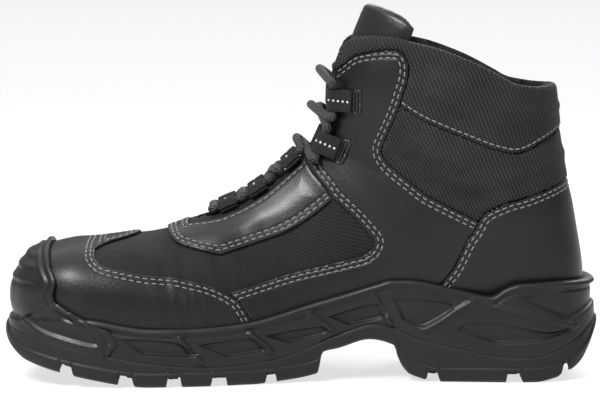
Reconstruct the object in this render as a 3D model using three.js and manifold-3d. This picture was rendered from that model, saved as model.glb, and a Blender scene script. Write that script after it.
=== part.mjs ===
// Mid-cut safety boot for the right foot, in millimetres, +Z up.
// The toe points along -X, the inner side of the foot faces -Y, and the origin is on the ground
// under the middle of the heel.
import * as THREE from 'three';
import { mergeVertices } from 'three/addons/utils/BufferGeometryUtils.js';
import Module from 'manifold-3d';

const wasm = await Module();
wasm.setup();

// Overall sizes of the boot
const LENGTH = 312;             // outsole, back of the heel to the toe
const HEEL_REACH = 54;          // origin to the back of the heel
const BALL_WIDTH = 108;         // outsole at the ball of the foot
const BED_HEIGHT = 17;          // ground to the underside of the upper at the ball
const UPPER_HEIGHT = 168;       // underside of the upper to the highest point of the collar
const RIM_HEIGHT = 54;          // ground to the highest point of the sole's side wall

// Walls and layers
const LINING_WALL = 2.4;        // the lined textile shell
const GAP = 0.3;                // clearance between pieces that touch
const VAMP_LEATHER = 1.4;
const FACING_LEATHER = 1.5;
const QUARTER_LEATHER = 1.8;
const COUNTER_LEATHER = 2.1;
const CAP_WALL = 2.1;           // moulded scuff cap over the toe
const ANKLE_PAD = 2.6;
const COLLAR_PAD = 3.4;
const TONGUE_PAD = 5;
const TONGUE_EASE = 1.1;        // looseness of the tongue inside the throat
const TONGUE_DIP = 4.6;         // how much flatter its middle is than the last, low down
const TONGUE_LEAN = 2.5;        // how far the tongue's top leans in
const INSOLE_THICKNESS = 4;
const SOLE_SKIN = 3;            // outsole wrapped up the side of the midsole
const LASTING_MARGIN = 13;      // upper turned in under the foot

// Tread
const LUG_DEPTH = 5.6;
const EDGE_LUG_REACH = 21;      // edge lugs, inwards from the outline
const CHANNEL = 5;              // groove between edge lugs and centre lugs

// Relief of the sole's side
const RECESS_DEPTH = 1.7;
const RIB_HEIGHT = 1.1;
const RIB_WIDTH = 2.6;

// Lacing
const LACE_DIAMETER = 4.6;
const WEBBING = 1.1;            // strap of the loops that carry the lace
const LOOP_WIDTH = 10;          // lower loops, along the throat
const HIGH_LOOP_WIDTH = 11.5;   // the two highest loops
const EDGE_REST = 0.2;          // flat strap over the hollow of the throat's edge
const STRAP_REST = 0.9;         // flat strap over the curve of the leather
const EYE_RADIUS = LACE_DIAMETER / 2 + GAP;
const EYE_SQUASH = 0.72;        // height of an eye pulled flat by the lace, as a share of its width
const EYE_CLEARANCE = 1.8;      // from a loop to the lace crossing beside it
const EYE_RUN = 2;              // straight lace beyond that
const EYE_LIFT = { onEdge: 0.6, onLeather: 2.8 };   // how far that lace rises
const LACE_NEST = 0.26;         // crossing runs, up and down from their middle, as a share of the diameter
const BAR_RISE = 0.045;         // top lace bar over its loops, as a share of UPPER_HEIGHT
const LOW_BAR_DROP = 0.018;     // lowest lace bar under its loops, as a share of UPPER_HEIGHT
const BAR_LIFT = 4.2;           // top lace bar, above the instep line
const LOW_BAR_LIFT = 0.3;       // lowest lace bar, above the instep line

// Resolution of the lofted forms
const STATIONS = 20;
const AROUND = 20;
const RIM_STATIONS = 14;

const alongToX = (along) => HEEL_REACH - along * LENGTH;
const upToZ = (up) => BED_HEIGHT + up * UPPER_HEIGHT;

// Sections of the last, from the toe tip to above the collar. Each section plane runs from a point on
// the instep line to a point on the bottom and heel line. along is a share of LENGTH from the heel,
// up a share of UPPER_HEIGHT, and the half widths are shares of BALL_WIDTH. widest is where the section
// is widest, as a share of the way down it, and crown and base are the powers of its two curves.
const LAST_COLUMNS = [
  'topAlong', 'topUp', 'lowAlong', 'lowUp', 'inner', 'outer', 'swing', 'widest', 'crown', 'base',
];
const LAST = [
  [0.984, 0.155, 0.984, 0.155, 0.000, 0.000, -0.074, 0.50, 2.0, 2.0],
  [0.980, 0.199, 0.979, 0.119, 0.124, 0.124, -0.074, 0.50, 2.1, 2.3],
  [0.971, 0.238, 0.969, 0.089, 0.194, 0.191, -0.071, 0.51, 2.2, 2.6],
  [0.956, 0.276, 0.952, 0.065, 0.269, 0.259, -0.066, 0.53, 2.4, 3.0],
  [0.928, 0.300, 0.923, 0.048, 0.341, 0.328, -0.059, 0.56, 2.6, 3.5],
  [0.887, 0.317, 0.881, 0.032, 0.396, 0.380, -0.050, 0.61, 2.7, 4.0],
  [0.835, 0.326, 0.829, 0.018, 0.420, 0.408, -0.040, 0.66, 2.6, 4.0],
  [0.777, 0.343, 0.768, 0.007, 0.427, 0.425, -0.030, 0.72, 2.4, 4.0],
  [0.719, 0.363, 0.694, 0.000, 0.420, 0.440, -0.019, 0.75, 2.2, 4.0],
  [0.661, 0.412, 0.613, 0.004, 0.388, 0.434, -0.009, 0.76, 2.05, 4.0],
  [0.613, 0.457, 0.535, 0.024, 0.338, 0.400, 0.000, 0.75, 1.95, 4.0],
  [0.569, 0.512, 0.461, 0.057, 0.302, 0.360, 0.000, 0.73, 1.9, 4.0],
  [0.529, 0.570, 0.371, 0.093, 0.290, 0.328, 0.000, 0.70, 1.9, 3.9],
  [0.498, 0.630, 0.261, 0.101, 0.296, 0.314, 0.000, 0.66, 1.95, 3.6],
  [0.482, 0.685, 0.139, 0.101, 0.305, 0.310, 0.000, 0.61, 2.0, 3.2],
  [0.474, 0.732, 0.058, 0.119, 0.312, 0.312, 0.000, 0.58, 2.05, 2.8],
  [0.468, 0.774, 0.029, 0.196, 0.322, 0.322, 0.000, 0.55, 2.1, 2.5],
  [0.457, 0.857, 0.043, 0.399, 0.352, 0.352, 0.000, 0.52, 2.2, 2.3],
  [0.443, 0.937, 0.066, 0.613, 0.355, 0.355, 0.000, 0.50, 2.2, 2.3],
  [0.426, 1.018, 0.079, 0.804, 0.356, 0.356, 0.000, 0.50, 2.2, 2.3],
  [0.406, 1.125, 0.087, 0.990, 0.354, 0.354, 0.000, 0.50, 2.2, 2.3],
].map((row) => Object.fromEntries(row.map((value, i) => [LAST_COLUMNS[i], value])));

// Plan of the sole. along is a share of LENGTH, inner and outer are half widths as shares of BALL_WIDTH,
// before the ends are rounded off, and tuck is how much narrower the sole is at the ground.
const SOLE_PLAN = [
  { along: 0.00, inner: 0.352, outer: 0.352, tuck: 0.000 },
  { along: 0.14, inner: 0.358, outer: 0.362, tuck: 0.000 },
  { along: 0.26, inner: 0.350, outer: 0.368, tuck: 0.010 },
  { along: 0.38, inner: 0.354, outer: 0.400, tuck: 0.040 },
  { along: 0.48, inner: 0.374, outer: 0.434, tuck: 0.036 },
  { along: 0.58, inner: 0.426, outer: 0.478, tuck: 0.012 },
  { along: 0.68, inner: 0.476, outer: 0.510, tuck: 0.000 },
  { along: 0.76, inner: 0.492, outer: 0.504, tuck: 0.000 },
  { along: 0.84, inner: 0.492, outer: 0.476, tuck: 0.000 },
  { along: 0.92, inner: 0.486, outer: 0.446, tuck: 0.000 },
  { along: 1.00, inner: 0.472, outer: 0.426, tuck: 0.000 },
];
const SOLE_SWING = [
  { along: 0.00, side: 0.000 },
  { along: 0.55, side: 0.000 },
  { along: 0.80, side: -0.022 },
  { along: 1.00, side: -0.074 },
];
const TOE_ROUND = { share: 0.215, power: 2.35 };
const HEEL_ROUND = { share: 0.135, power: 2.3 };

// Side lines of the sole: along is a share of LENGTH, up a share of RIM_HEIGHT
const GROUND_LINE = [
  { along: 0.000, up: 0.440 },
  { along: 0.013, up: 0.285 },
  { along: 0.029, up: 0.165 },
  { along: 0.046, up: 0.100 },
  { along: 0.074, up: 0.032 },
  { along: 0.106, up: 0.000 },
  { along: 0.270, up: 0.000 },
  { along: 0.317, up: 0.065 },
  { along: 0.329, up: 0.130 },
  { along: 0.339, up: 0.240 },
  { along: 0.345, up: 0.350 },
  { along: 0.386, up: 0.407 },
  { along: 0.437, up: 0.326 },
  { along: 0.465, up: 0.285 },
  { along: 0.474, up: 0.080 },
  { along: 0.539, up: 0.018 },
  { along: 0.584, up: 0.000 },
  { along: 0.752, up: 0.000 },
  { along: 0.797, up: 0.022 },
  { along: 0.848, up: 0.072 },
  { along: 0.900, up: 0.130 },
  { along: 0.945, up: 0.192 },
  { along: 0.971, up: 0.240 },
  { along: 0.990, up: 0.325 },
  { along: 1.000, up: 0.440 },
];
// Shares of the length where the ground line turns sharply, each a section of its own
const SOLE_BREAKS = [0.106, 0.270, 0.317, 0.339, 0.345, 0.386, 0.465, 0.474, 0.584, 0.752];
const WRAP_LINE = [
  { along: 0.000, up: 0.595 },
  { along: 0.013, up: 0.525 },
  { along: 0.036, up: 0.415 },
  { along: 0.068, up: 0.318 },
  { along: 0.113, up: 0.248 },
  { along: 0.158, up: 0.252 },
  { along: 0.239, up: 0.338 },
  { along: 0.316, up: 0.450 },
  { along: 0.348, up: 0.537 },
  { along: 0.381, up: 0.570 },
  { along: 0.415, up: 0.515 },
  { along: 0.457, up: 0.422 },
  { along: 0.496, up: 0.320 },
  { along: 0.561, up: 0.230 },
  { along: 0.650, up: 0.188 },
  { along: 0.757, up: 0.240 },
  { along: 0.848, up: 0.345 },
  { along: 0.900, up: 0.415 },
  { along: 0.935, up: 0.480 },
  { along: 0.970, up: 0.525 },
  { along: 1.000, up: 0.555 },
];
const RIM_LINE = [
  { along: 0.000, up: 0.950 },
  { along: 0.060, up: 0.965 },
  { along: 0.135, up: 0.950 },
  { along: 0.158, up: 0.910 },
  { along: 0.183, up: 0.830 },
  { along: 0.240, up: 0.895 },
  { along: 0.325, up: 0.985 },
  { along: 0.350, up: 0.985 },
  { along: 0.372, up: 0.950 },
  { along: 0.435, up: 0.840 },
  { along: 0.496, up: 0.740 },
  { along: 0.540, up: 0.660 },
  { along: 0.583, up: 0.600 },
  { along: 0.626, up: 0.567 },
  { along: 0.693, up: 0.548 },
  { along: 0.752, up: 0.552 },
  { along: 0.796, up: 0.585 },
  { along: 0.848, up: 0.640 },
  { along: 0.900, up: 0.650 },
  { along: 1.000, up: 0.610 },
];

// Wall of the sole, from the tread up to the rim: share of the height there, and millimetres out
// from the plan outline
const SOLE_WALL = [
  { share: 0.00, out: -2.0 },
  { share: 0.22, out: 0.0 },
  { share: 1.00, out: -1.2 },
];

// Side outlines of the upper's pieces, as runs of points joined at corners. Each point is
// [share of LENGTH from the heel, share of UPPER_HEIGHT].
const VAMP_SIDE = [
  [0.847, 0.330], [0.847, 0.298], [0.839, 0.278], [0.826, 0.267], [0.792, 0.254], [0.757, 0.242], [0.714, 0.235],
  [0.670, 0.217], [0.648, 0.204], [0.624, 0.183],
];
const VAMP_REAR = [[0.624, 0.183], [0.606, 0.159], [0.594, 0.127], [0.583, 0.090], [0.575, -0.150]];
// The vamp's tongue over the toe in plan: share of LENGTH, and half width as a share of BALL_WIDTH
const VAMP_TONGUE = [
  [0.852, 0.250], [0.847, 0.222], [0.838, 0.157], [0.818, 0.111], [0.796, 0.097], [0.783, 0.069], [0.777, 0.032],
];
const VAMP_TONGUE_TIP = 0.7745;
const FACING_TOP = [[0.498, 0.600], [0.481, 0.551], [0.459, 0.503], [0.448, 0.471]];
const FACING_LOW = [
  [0.448, 0.471], [0.479, 0.424], [0.511, 0.384], [0.543, 0.357], [0.588, 0.329], [0.635, 0.303],
];
const FACING_FRONT = [
  [0.635, 0.303], [0.672, 0.315], [0.703, 0.331], [0.715, 0.342], [0.726, 0.365], [0.731, 0.383], [0.731, 0.470],
];
const THROAT_EDGE = [
  [0.690, 0.391], [0.677, 0.396], [0.641, 0.411], [0.603, 0.441], [0.566, 0.482], [0.535, 0.530], [0.504, 0.582],
  [0.489, 0.614], [0.473, 0.661], [0.463, 0.702], [0.456, 0.762], [0.451, 0.810], [0.448, 0.857], [0.442, 0.891],
];
const COLLAR_LINE = [
  [0.442, 0.891], [0.435, 0.925], [0.423, 0.958], [0.396, 0.974], [0.369, 0.975], [0.343, 0.970], [0.316, 0.958],
  [0.279, 0.942], [0.245, 0.920], [0.209, 0.892], [0.166, 0.850], [0.149, 0.832], [0.133, 0.824], [0.108, 0.818],
  [0.085, 0.818], [0.060, 0.822], [0.030, 0.816],
];
const TEXTILE_LOW_EDGE = [
  [0.624, 0.183], [0.583, 0.204], [0.518, 0.239], [0.457, 0.265], [0.414, 0.285], [0.397, 0.294], [0.383, 0.313],
  [0.378, 0.336], [0.382, 0.351], [0.407, 0.403], [0.430, 0.443], [0.448, 0.471],
];
const QUARTER_TOP = [
  [0.448, 0.860], [0.432, 0.886], [0.412, 0.915], [0.381, 0.930], [0.351, 0.935], [0.335, 0.926], [0.326, 0.901],
  [0.324, 0.873], [0.326, 0.841], [0.334, 0.793], [0.340, 0.756], [0.351, 0.705], [0.363, 0.652], [0.368, 0.620],
  [0.361, 0.589], [0.347, 0.563], [0.330, 0.538], [0.304, 0.500], [0.287, 0.478], [0.205, 0.402],
];
const COUNTER_FRONT = [
  [0.205, 0.402], [0.211, 0.377], [0.223, 0.345], [0.234, 0.301], [0.247, 0.252], [0.263, 0.213], [0.285, -0.15],
];
const COUNTER_TOP = [
  [-0.040, 0.540], [0.045, 0.524], [0.056, 0.519], [0.085, 0.500], [0.125, 0.476], [0.159, 0.459], [0.193, 0.430],
  [0.205, 0.402],
];
const TONGUE_TOP = [
  [0.466, 0.985], [0.425, 1.022], [0.402, 1.054], [0.391, 1.064], [0.378, 1.063], [0.333, 1.027], [0.318, 1.006],
  [0.308, 0.975], [0.300, 0.900],
];
const TONGUE_START = 8;
const TONGUE_RIBS = 3;
const TONGUE_SPREAD = { low: 0.105, high: 0.200 };
const COLLAR_SEAM = [
  [0.337, 0.762], [0.304, 0.724], [0.263, 0.690], [0.230, 0.666], [0.188, 0.635], [0.155, 0.618], [0.142, 0.617],
  [0.123, 0.625], [0.091, 0.654], [0.062, 0.683], [0.020, 0.720],
];

// Rear and lower edge of the scuff cap, and its moulded side panel
const CAP_REAR = [
  [0.925, 0.480], [0.926, 0.330], [0.919, 0.270], [0.911, 0.240], [0.909, 0.215], [0.913, 0.190], [0.908, 0.162],
  [0.882, 0.132], [0.840, 0.092], [0.821, 0.078],
];
const CAP_CORNER = [
  [0.821, 0.078], [0.811, 0.058], [0.806, 0.036], [0.814, 0.020],
];
const CAP_PANEL = [
  [0.965, 0.106], [0.940, 0.140], [0.922, 0.146], [0.900, 0.130], [0.872, 0.102], [0.838, 0.046], [0.846, 0.030],
  [0.895, 0.050], [0.935, 0.072],
];

// Recesses and ribs of the midsole's side, with up a share of RIM_HEIGHT
const SIDE_RECESSES = [
  [[0.800, 0.470], [0.716, 0.438], [0.674, 0.305], [0.752, 0.318], [0.768, 0.345]],
  [[0.674, 0.405], [0.586, 0.450], [0.560, 0.340], [0.622, 0.282]],
  [[0.562, 0.475], [0.474, 0.545], [0.462, 0.485], [0.520, 0.395]],
  [[0.455, 0.645], [0.375, 0.765], [0.360, 0.645], [0.420, 0.560]],
  [[0.346, 0.820], [0.248, 0.760], [0.293, 0.550], [0.330, 0.610]],
  [[0.242, 0.510], [0.224, 0.575], [0.175, 0.580], [0.090, 0.490], [0.050, 0.515], [0.070, 0.445], [0.112, 0.395],
    [0.176, 0.390]],
];
const HEEL_VENT = [[0.138, 0.825], [0.078, 0.885], [-0.02, 0.925], [-0.02, 0.800], [0.046, 0.592]];
const SIDE_RIBS = [
  [[0.704, 0.470], [0.668, 0.240]],
  [[0.586, 0.500], [0.552, 0.325]],
  [[0.487, 0.680], [0.450, 0.520]],
  [[0.380, 0.860], [0.352, 0.570]],
  [[0.296, 0.510], [0.212, 0.800]],
  [[0.192, 0.770], [0.042, 0.535]],
];

// Grooves between the edge lugs: where along, how wide, and how much of the width they cross
const EDGE_GROOVES = [
  { along: 0.892, width: 6.5 },
  { along: 0.792, width: 7.5 },
  { along: 0.712, width: 7.5 },
  { along: 0.637, width: 7.5 },
  { along: 0.551, width: 5.0 },
  { along: 0.280, width: 6.0 },
  { along: 0.144, width: 7.5 },
  { along: 0.056, width: 4.0 },
];
const CENTRE_GROOVES = [
  { along: 0.920, lean: 15 },
  { along: 0.822, lean: 20 },
  { along: 0.720, lean: 22 },
  { along: 0.625, lean: 22 },
  { along: 0.212, lean: 15 },
];
const CENTRE_GROOVE_WIDTH = 4.5;

// Lace loops, lowest first. up is the height of their eye on the throat's edge or on the instep line, as a
// share of UPPER_HEIGHT, side and end are how far the eye and the strap's end are from the boot's middle,
// lean is how many rows up the last the end lies, and over is how high the lace that crosses above the loop
// runs over the instep line.
const LACE_LOOPS = [
  { up: 0.424, side: 11.0, end: 15.5, lean: 0.00, over: -1.7, width: LOOP_WIDTH, onEdge: true },
  { up: 0.476, side: 11.0, end: 15.5, lean: 0.00, over: -1.3, width: LOOP_WIDTH, onEdge: true },
  { up: 0.566, side: 11.0, end: 15.5, lean: 0.00, over: 2.5, width: LOOP_WIDTH, onEdge: true },
  { up: 0.677, side: 15.9, end: 20.6, lean: 0.29, over: 1.8, width: HIGH_LOOP_WIDTH, onEdge: false },
  { up: 0.812, side: 18.7, end: 25.4, lean: 0.23, over: 0.0, width: HIGH_LOOP_WIDTH, onEdge: false },
];

// Value of a table's column at a share along, on a smooth curve that never overshoots its rows
function columnAt(table, key, along) {
  const rising = table[0].along < table[table.length - 1].along ? table : [...table].reverse();
  const last = rising.length - 1;
  if (along <= rising[0].along) return rising[0][key];
  if (along >= rising[last].along) return rising[last][key];
  const slope = (i) => (rising[i + 1][key] - rising[i][key]) / (rising[i + 1].along - rising[i].along);
  const tangent = (i) => {
    if (i === 0) return slope(0);
    if (i === last) return slope(last - 1);
    const before = slope(i - 1);
    const after = slope(i);
    return before * after <= 0 ? 0 : (2 * before * after) / (before + after);
  };
  const i = rising.findIndex((row, n) => n < last && along < rising[n + 1].along);
  const span = rising[i + 1].along - rising[i].along;
  const t = (along - rising[i].along) / span;
  return (
    (2 * t ** 3 - 3 * t ** 2 + 1) * rising[i][key] +
    (t ** 3 - 2 * t ** 2 + t) * span * tangent(i) +
    (3 * t ** 2 - 2 * t ** 3) * rising[i + 1][key] +
    (t ** 3 - t ** 2) * span * tangent(i + 1)
  );
}

// A row of the last's table between two rows, on a Catmull-Rom curve through its neighbours
function lastRow(position) {
  const last = LAST.length - 1;
  const i = Math.min(last - 1, Math.floor(position));
  const t = position - i;
  const pick = (n) => LAST[Math.max(0, Math.min(last, n))];
  const [a, b, c, d] = [pick(i - 1), pick(i), pick(i + 1), pick(i + 2)];
  return Object.fromEntries(Object.keys(b).map((key) => [
    key,
    0.5 * (2 * b[key] + (c[key] - a[key]) * t + (2 * a[key] - 5 * b[key] + 4 * c[key] - d[key]) * t * t +
      (3 * b[key] - a[key] - 3 * c[key] + d[key]) * t ** 3),
  ]));
}

// A point of the last's surface: position counts rows of the table, turn goes once round the section,
// from the instep over the inner side, the bottom and the outer side
function lastPoint(position, turn) {
  const row = lastRow(position);
  const angle = 2 * Math.PI * turn;
  const cosine = Math.cos(angle);
  const sine = Math.sin(angle);
  const power = cosine >= 0 ? row.crown : row.base;
  const reach = Math.abs(cosine) ** (2 / power);
  const down = cosine >= 0 ? row.widest * (1 - reach) : row.widest + (1 - row.widest) * reach;
  const half = (sine >= 0 ? row.inner : row.outer) * BALL_WIDTH;
  const side = -Math.sign(sine) * half * Math.abs(sine) ** (2 / power);
  return new THREE.Vector3(
    alongToX(row.topAlong + (row.lowAlong - row.topAlong) * down),
    row.swing * BALL_WIDTH + side,
    upToZ(row.topUp + (row.lowUp - row.topUp) * down),
  );
}

// Outward direction of the last's surface
function lastNormal(position, turn) {
  const step = 0.02;
  const from = Math.max(step, position - step);
  const to = Math.min(LAST.length - 1, position + step);
  const along = lastPoint(to, turn).sub(lastPoint(from, turn));
  const middle = Math.max(from, position);
  const round = lastPoint(middle, turn + step / 2).sub(lastPoint(middle, turn - step / 2));
  return round.cross(along).normalize();
}

function offsetPoint(position, turn, out) {
  return lastPoint(position, turn).addScaledVector(lastNormal(position, turn), out);
}

// Closed mesh from rings of points: the first ring may be a single point, and flat ends get a fan
function loft(rings) {
  const positions = [];
  const index = [];
  const starts = rings.map((ring) => {
    const start = positions.length / 3;
    ring.forEach((point) => positions.push(point.x, point.y, point.z));
    return start;
  });
  for (let r = 0; r + 1 < rings.length; r++) {
    const count = rings[r + 1].length;
    for (let k = 0; k < count; k++) {
      const next = (k + 1) % count;
      const c = starts[r + 1] + k;
      const d = starts[r + 1] + next;
      if (rings[r].length === 1) index.push(starts[r], d, c);
      else index.push(starts[r] + k, starts[r] + next, d, starts[r] + k, d, c);
    }
  }
  const cap = (r, turned) => {
    const count = rings[r].length;
    if (count === 1) return;
    const centre = rings[r].reduce((sum, point) => sum.add(point), new THREE.Vector3()).divideScalar(count);
    const hub = positions.length / 3;
    positions.push(centre.x, centre.y, centre.z);
    for (let k = 0; k < count; k++) {
      const next = (k + 1) % count;
      const edge = [starts[r] + (turned ? k : next), starts[r] + (turned ? next : k)];
      index.push(hub, ...edge);
    }
  };
  cap(0, false);
  cap(rings.length - 1, true);
  const geometry = new THREE.BufferGeometry();
  geometry.setAttribute('position', new THREE.Float32BufferAttribute(positions, 3));
  geometry.setIndex(index);
  return geometry;
}

// Solid of a closed three.js geometry, turned right side out
function solid(geometry) {
  const bare = geometry.clone();
  bare.deleteAttribute('normal');
  bare.deleteAttribute('uv');
  const merged = mergeVertices(bare, 1e-4);
  const place = merged.getAttribute('position').array;
  const order = Uint32Array.from(merged.index.array);
  let volume = 0;
  const [a, b, c] = [new THREE.Vector3(), new THREE.Vector3(), new THREE.Vector3()];
  for (let i = 0; i < order.length; i += 3) {
    a.fromArray(place, 3 * order[i]);
    b.fromArray(place, 3 * order[i + 1]);
    c.fromArray(place, 3 * order[i + 2]);
    volume += a.dot(b.cross(c));
  }
  if (volume < 0) {
    for (let i = 0; i < order.length; i += 3) [order[i], order[i + 1]] = [order[i + 1], order[i]];
  }
  return new wasm.Manifold(new wasm.Mesh({ numProp: 3, vertProperties: Float32Array.from(place), triVerts: order }));
}

// The last grown or shrunk by a distance, from the toe to above the collar
function lastForm(out) {
  const end = LAST.length - 1;
  const tip = lastPoint(0, 0);
  tip.x -= out;
  const rings = [[tip]];
  for (let s = 1; s <= STATIONS; s++) {
    rings.push(Array.from({ length: AROUND }, (_, k) => offsetPoint((end * s) / STATIONS, k / AROUND, out)));
  }
  return solid(loft(rings));
}

// Points of an outline, from runs of [along, up] pairs that are smooth inside and meet at corners
function outlinePoints(runs, toZ, stepsPerPoint = 1) {
  const points = [];
  runs.forEach((run) => {
    const places = run.map(([along, up]) => new THREE.Vector2(alongToX(along), toZ(up)));
    const sampled = places.length > 2
      ? new THREE.SplineCurve(places).getPoints((places.length - 1) * stepsPerPoint)
      : places;
    sampled.forEach((point) => {
      if (!points.length || points[points.length - 1].distanceTo(point) > 1e-3) points.push(point);
    });
  });
  if (points[0].distanceTo(points[points.length - 1]) < 1e-3) points.pop();
  return points;
}

// Prism across the boot whose side view is the outline, from one side of the boot to the other
const ACROSS = BALL_WIDTH;
function sidePrism(points, from = -ACROSS, to = ACROSS) {
  const geometry = new THREE.ExtrudeGeometry(new THREE.Shape(points), { depth: to - from, bevelEnabled: false });
  geometry.rotateX(Math.PI / 2);
  geometry.translate(0, to, 0);
  return solid(geometry);
}

// Upright prism whose plan is the outline
function planPrism(points, low, high) {
  const geometry = new THREE.ExtrudeGeometry(new THREE.Shape(points), { depth: high - low, bevelEnabled: false });
  geometry.translate(0, 0, low);
  return solid(geometry);
}

// An outline moved outwards by a distance, for the clearance round a piece. At sharp corners the move
// stops growing at the narrowest widening.
const LEAST_WIDENING = 0.4;
function grown(points, distance) {
  const turn = Math.sign(THREE.ShapeUtils.area(points));
  return points.map((point, i) => {
    const before = points[(i + points.length - 1) % points.length];
    const after = points[(i + 1) % points.length];
    const into = new THREE.Vector2().subVectors(point, before).normalize();
    const on = new THREE.Vector2().subVectors(after, point).normalize();
    const bisector = new THREE.Vector2(into.y + on.y, -into.x - on.x).normalize();
    const widen = Math.max(LEAST_WIDENING, bisector.x * into.y - bisector.y * into.x);
    return point.clone().addScaledVector(bisector, (turn * distance) / widen);
  });
}

// Half widths and centre line of the sole's plan at a share of the length
function roundedEnd(reach, { share, power }) {
  return reach >= share ? 1 : Math.max(0, 1 - (1 - reach / share) ** power) ** (1 / power);
}
function solePlan(along, innerSide) {
  const side = columnAt(SOLE_PLAN, innerSide ? 'inner' : 'outer', along) * BALL_WIDTH;
  const round = roundedEnd(1 - along, TOE_ROUND) * roundedEnd(along, HEEL_ROUND);
  const centre = columnAt(SOLE_SWING, 'side', along) * BALL_WIDTH;
  return new THREE.Vector2(alongToX(along), centre + (innerSide ? -1 : 1) * side * round);
}

// Shares of the length where the sole is sampled: closer at the ends, and at the breaks of its ground line
const BREAK_ROOM = 0.022;
const soleStations = (() => {
  const phases = Array.from({ length: RIM_STATIONS + 1 }, (_, i) => (Math.PI * i) / RIM_STATIONS);
  const even = phases.map((phase) => (1 - Math.cos(phase)) / 2);
  const clear = even.filter((share) => SOLE_BREAKS.every((mark) => Math.abs(share - mark) > BREAK_ROOM));
  return [...clear, ...SOLE_BREAKS].sort((a, b) => a - b);
})();

// Plan outline of the sole, moved out by a distance: inner side from heel to toe, then outer side back
function soleOutline(out) {
  const inner = soleStations.map((along) => solePlan(along, true));
  const outer = soleStations.map((along) => solePlan(along, false));
  const ring = [...inner, ...outer.slice(1, -1).reverse()];
  return ring.map((point, i) => {
    const before = ring[(i + ring.length - 1) % ring.length];
    const after = ring[(i + 1) % ring.length];
    const on = new THREE.Vector2().subVectors(after, before).normalize();
    return point.clone().add(new THREE.Vector2(-on.y, on.x).multiplyScalar(out));
  });
}

// Mesh between two or more rings of the sole's outline, closed above and below by rungs from side to side
function ladder(rings) {
  const count = rings[0].length;
  const positions = rings.flat().flatMap((point) => [point.x, point.y, point.z]);
  const index = [];
  for (let r = 0; r + 1 < rings.length; r++) {
    for (let k = 0; k < count; k++) {
      const next = (k + 1) % count;
      const [a, b, c, d] = [r * count + k, r * count + next, (r + 1) * count + next, (r + 1) * count + k];
      index.push(a, c, b, a, d, c);
    }
  }
  const close = (start, turned) => {
    for (let k = 0; k < count / 2; k++) {
      const quad = [start + k, start + k + 1, start + ((count - k - 1) % count), start + ((count - k) % count)];
      const faces = [[quad[0], quad[1], quad[2]], [quad[0], quad[2], quad[3]]];
      const real = faces.filter((face) => new Set(face).size === 3);
      real.forEach((face) => index.push(...(turned ? face.reverse() : face)));
    }
  };
  close(0, false);
  close((rings.length - 1) * count, true);
  const geometry = new THREE.BufferGeometry();
  geometry.setAttribute('position', new THREE.Float32BufferAttribute(positions, 3));
  geometry.setIndex(index);
  return geometry;
}

const soleUp = (table, x) => columnAt(table, 'up', (HEEL_REACH - x) / LENGTH) * RIM_HEIGHT;

// The whole sole from ground to rim, moved out by a distance
function soleForm(out) {
  const rings = SOLE_WALL.map(({ share, out: wall }) => soleOutline(wall + out).map((point) => {
    const along = (HEEL_REACH - point.x) / LENGTH;
    const low = soleUp(GROUND_LINE, point.x);
    const high = soleUp(RIM_LINE, point.x);
    const tuck = columnAt(SOLE_PLAN, 'tuck', along) * BALL_WIDTH * (1 - share);
    const side = point.y - Math.sign(point.y) * tuck;
    return new THREE.Vector3(point.x, side, low + share * (high - low));
  }));
  return solid(ladder(rings));
}

// Region below a side line of the sole, reaching well past the boot's ends
const PAST_ENDS = 0.06;
const FAR_X = { toe: alongToX(1 + PAST_ENDS), heel: alongToX(-PAST_ENDS) };
function below(lineAt) {
  const shares = [-PAST_ENDS, ...soleStations, 1 + PAST_ENDS];
  const top = shares.map((along) => new THREE.Vector2(alongToX(along), lineAt(alongToX(along))));
  return sidePrism([...top, new THREE.Vector2(FAR_X.toe, -BED_HEIGHT), new THREE.Vector2(FAR_X.heel, -BED_HEIGHT)]);
}

const joined = (solids) => solids.reduce((sum, piece) => sum.add(piece));

// Forms that several pieces are cut from
const base = lastForm(0);
const soleOuter = soleForm(0);
const soleRecess = soleForm(-RECESS_DEPTH);
const leatherOut = GAP + COUNTER_LEATHER;
const cavity = lastForm(leatherOut + GAP);

// Side outlines closed past the silhouette
const FAR_UP = 1.4;
const FAR_DOWN = -0.15;
const FAR_BACK = -0.2;
const FAR_FRONT = 1.1;
const sideView = (...runs) => outlinePoints(runs, upToZ);
const first = (run) => run[0];
const final = (run) => run[run.length - 1];
const throatPoints = sideView(
  THROAT_EDGE,
  [final(THROAT_EDGE), [final(THROAT_EDGE)[0], FAR_UP]],
  [[final(THROAT_EDGE)[0], FAR_UP], [first(THROAT_EDGE)[0], FAR_UP]],
);
const overCollarPoints = sideView(
  COLLAR_LINE,
  [final(COLLAR_LINE), [FAR_BACK, FAR_UP]],
  [[FAR_BACK, FAR_UP], [first(COLLAR_LINE)[0], FAR_UP]],
);
const vampPoints = sideView(
  VAMP_SIDE,
  VAMP_REAR,
  [final(VAMP_REAR), [FAR_FRONT, FAR_DOWN]],
  [[FAR_FRONT, FAR_DOWN], [FAR_FRONT, FAR_UP]],
  [[FAR_FRONT, FAR_UP], [first(VAMP_SIDE)[0], FAR_UP]],
);
const facingPoints = sideView(
  FACING_TOP,
  FACING_LOW,
  FACING_FRONT,
  [final(FACING_FRONT), [final(FACING_FRONT)[0], FAR_UP]],
  [[final(FACING_FRONT)[0], FAR_UP], [first(FACING_TOP)[0], FAR_UP]],
);
const quarterPoints = sideView(
  QUARTER_TOP,
  COUNTER_FRONT,
  [final(COUNTER_FRONT), [0.600, FAR_DOWN]],
  [[0.600, FAR_DOWN], [0.608, 0.150]],
  [[0.608, 0.150], first(TEXTILE_LOW_EDGE)],
  TEXTILE_LOW_EDGE,
  [...FACING_TOP].reverse(),
  [first(FACING_TOP), [first(FACING_TOP)[0], first(QUARTER_TOP)[1]]],
);
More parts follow.
